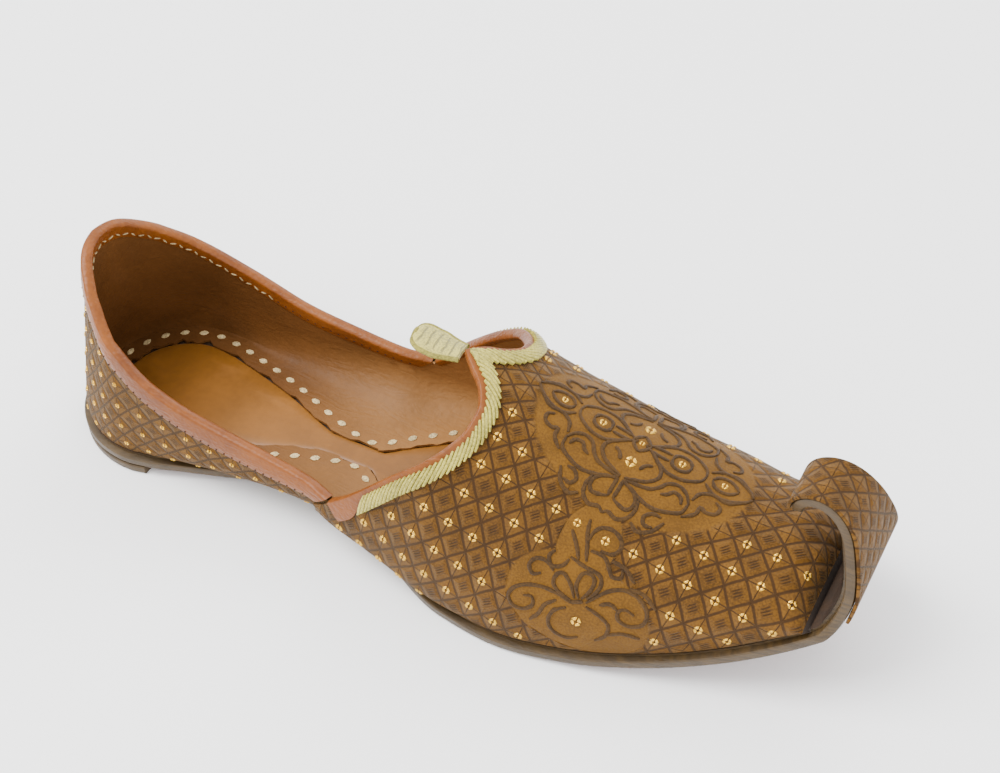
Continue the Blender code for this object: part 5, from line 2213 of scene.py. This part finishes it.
def build_stage():
    """The pale floor, the soft lights and the camera at the photo's angle."""
    colours = colours_now()
    half = 3.0
    mesh = bpy.data.meshes.new("floor")
    corners = [(-half, -half, 0), (half, -half, 0), (half, half, 0), (-half, half, 0)]
    mesh.from_pydata(corners, [], [(0, 1, 2, 3)])
    floor = bpy.data.objects.new("floor", mesh)
    bpy.context.scene.collection.objects.link(floor)
    material, tree, shader = start_material("floor paper", Specular_IOR_Level=0.1, Roughness=0.9)
    noise = clouds(tree, object_place(tree), 8.0, 2.0)
    paint = blend(tree, noise.outputs[0], shade(colours.floor, 0.985), colours.floor[:])
    join(tree, paint, shader.inputs["Base Color"])
    mesh.materials.append(material)
    world = bpy.data.worlds.new("studio")
    world.use_nodes = True
    background = world.node_tree.nodes["Background"]
    background.inputs["Color"].default_value = (1.0, 1.0, 1.0, 1.0)
    background.inputs["Strength"].default_value = 1.8
    bpy.context.scene.world = world
    for name, place, target, size, power in (
        ("key light", (-0.55, -0.35, 1.30), (0.0, 0.0, 0.03), 0.9, 34.0),
        ("fill light", (0.9, -0.9, 0.8), (0.0, 0.0, 0.03), 1.2, 8.0),
        ("back light", (0.1, 1.0, 0.9), (0.0, 0.0, 0.04), 0.9, 10.0),
    ):
        light = bpy.data.lights.new(name, "AREA")
        light.size = size
        light.energy = power
        lamp = bpy.data.objects.new(name, light)
        lamp.location = place
        lamp.rotation_mode = "QUATERNION"
        lamp.rotation_quaternion = (Vector(target) - Vector(place)).to_track_quat("-Z", "Y")
        bpy.context.scene.collection.objects.link(lamp)
    camera = bpy.data.cameras.new("camera")
    camera.lens = 66.6
    camera.sensor_width = 36.0
    camera.clip_start, camera.clip_end = 0.01, 20.0
    eye = bpy.data.objects.new("camera", camera)
    right = Vector((0.88852, 0.45571, -0.05354))
    up = Vector((-0.29182, 0.65127, 0.70049))
    back = Vector((0.35409, -0.60678, 0.71165))
    turned = Matrix((right, up, back)).transposed()
    eye.rotation_mode = "QUATERNION"
    eye.rotation_quaternion = turned.to_quaternion()
    eye.location = (0.21881, -0.33982, 0.46154)
    bpy.context.scene.collection.objects.link(eye)
    bpy.context.scene.camera = eye


# --- operators ---


class MOJARI_OT_sole(bpy.types.Operator):
    """Build the sole with its heel lift and curled strip"""

    bl_idname = "mojari.sole"
    bl_label = "Sole"

    def execute(self, context):
        build_outsole()
        build_heel_lift()
        return {"FINISHED"}


class MOJARI_OT_insole(bpy.types.Operator):
    """Build the burnished insole"""

    bl_idname = "mojari.insole"
    bl_label = "Insole"

    def execute(self, context):
        build_insole()
        return {"FINISHED"}


class MOJARI_OT_upper(bpy.types.Operator):
    """Build the brocade vamp and quarters and their lining"""

    bl_idname = "mojari.upper"
    bl_label = "Vamp, quarters and lining"

    def execute(self, context):
        build_quarters()
        build_vamp()
        build_lining()
        return {"FINISHED"}


class MOJARI_OT_facing(bpy.types.Operator):
    """Build the brocade on the outside of the curl"""

    bl_idname = "mojari.facing"
    bl_label = "Curl facing"

    def execute(self, context):
        build_facing()
        return {"FINISHED"}


class MOJARI_OT_bindings(bpy.types.Operator):
    """Build the leather bindings of the collar and the throat"""

    bl_idname = "mojari.bindings"
    bl_label = "Bindings"

    def execute(self, context):
        build_collar_binding()
        build_throat_binding()
        return {"FINISHED"}


class MOJARI_OT_braid(bpy.types.Operator):
    """Build the braid along the throat and the pull tab"""

    bl_idname = "mojari.braid"
    bl_label = "Braid and tab"

    def execute(self, context):
        build_braid()
        build_tab()
        return {"FINISHED"}


class MOJARI_OT_stitches(bpy.types.Operator):
    """Build the stitches of the sole and the flange"""

    bl_idname = "mojari.stitches"
    bl_label = "Stitches"

    def execute(self, context):
        build_stitches()
        return {"FINISHED"}


class MOJARI_OT_needlework(bpy.types.Operator):
    """Build the fine stitches and needle holes of the collar binding"""

    bl_idname = "mojari.needlework"
    bl_label = "Needlework"

    def execute(self, context):
        build_needlework()
        return {"FINISHED"}


class MOJARI_OT_scrolls(bpy.types.Operator):
    """Build the raised scrolls of the vamp"""

    bl_idname = "mojari.scrolls"
    bl_label = "Scrolls"

    def execute(self, context):
        build_scrolls()
        return {"FINISHED"}


class MOJARI_OT_sequins(bpy.types.Operator):
    """Build the sequins of the vamp and the quarters"""

    bl_idname = "mojari.sequins"
    bl_label = "Sequins"

    def execute(self, context):
        build_sequins()
        return {"FINISHED"}


class MOJARI_OT_stage(bpy.types.Operator):
    """Build the floor, the lights and the camera"""

    bl_idname = "mojari.stage"
    bl_label = "Stage"

    def execute(self, context):
        build_stage()
        return {"FINISHED"}


class MOJARI_PT_panel(bpy.types.Panel):
    """Sizes, colours and pieces of the mojari"""

    bl_idname = "MOJARI_PT_panel"
    bl_label = "Mojari"
    bl_space_type = "VIEW_3D"
    bl_region_type = "UI"
    bl_category = "Mojari"

    def draw(self, context):
        layout = self.layout
        for group in (context.scene.mojari_sizes, context.scene.mojari_colours):
            box = layout.box()
            for name in group.__annotations__:
                box.prop(group, name)
        for operator in OPERATORS:
            layout.operator(operator.bl_idname)


OPERATORS = (
    MOJARI_OT_sole,
    MOJARI_OT_insole,
    MOJARI_OT_upper,
    MOJARI_OT_facing,
    MOJARI_OT_bindings,
    MOJARI_OT_braid,
    MOJARI_OT_stitches,
    MOJARI_OT_needlework,
    MOJARI_OT_scrolls,
    MOJARI_OT_sequins,
    MOJARI_OT_stage,
)
CLASSES = (MojariColours, MojariSizes, *OPERATORS, MOJARI_PT_panel)


def register():
    for made in CLASSES:
        bpy.utils.register_class(made)
    bpy.types.Scene.mojari_colours = bpy.props.PointerProperty(type=MojariColours)
    bpy.types.Scene.mojari_sizes = bpy.props.PointerProperty(type=MojariSizes)


def unregister():
    del bpy.types.Scene.mojari_sizes
    del bpy.types.Scene.mojari_colours
    for made in reversed(CLASSES):
        bpy.utils.unregister_class(made)


def main():
    register()
    for operator in OPERATORS:
        group, name = operator.bl_idname.split(".")
        getattr(getattr(bpy.ops, group), name)()


if __name__ == "__main__":
    main()
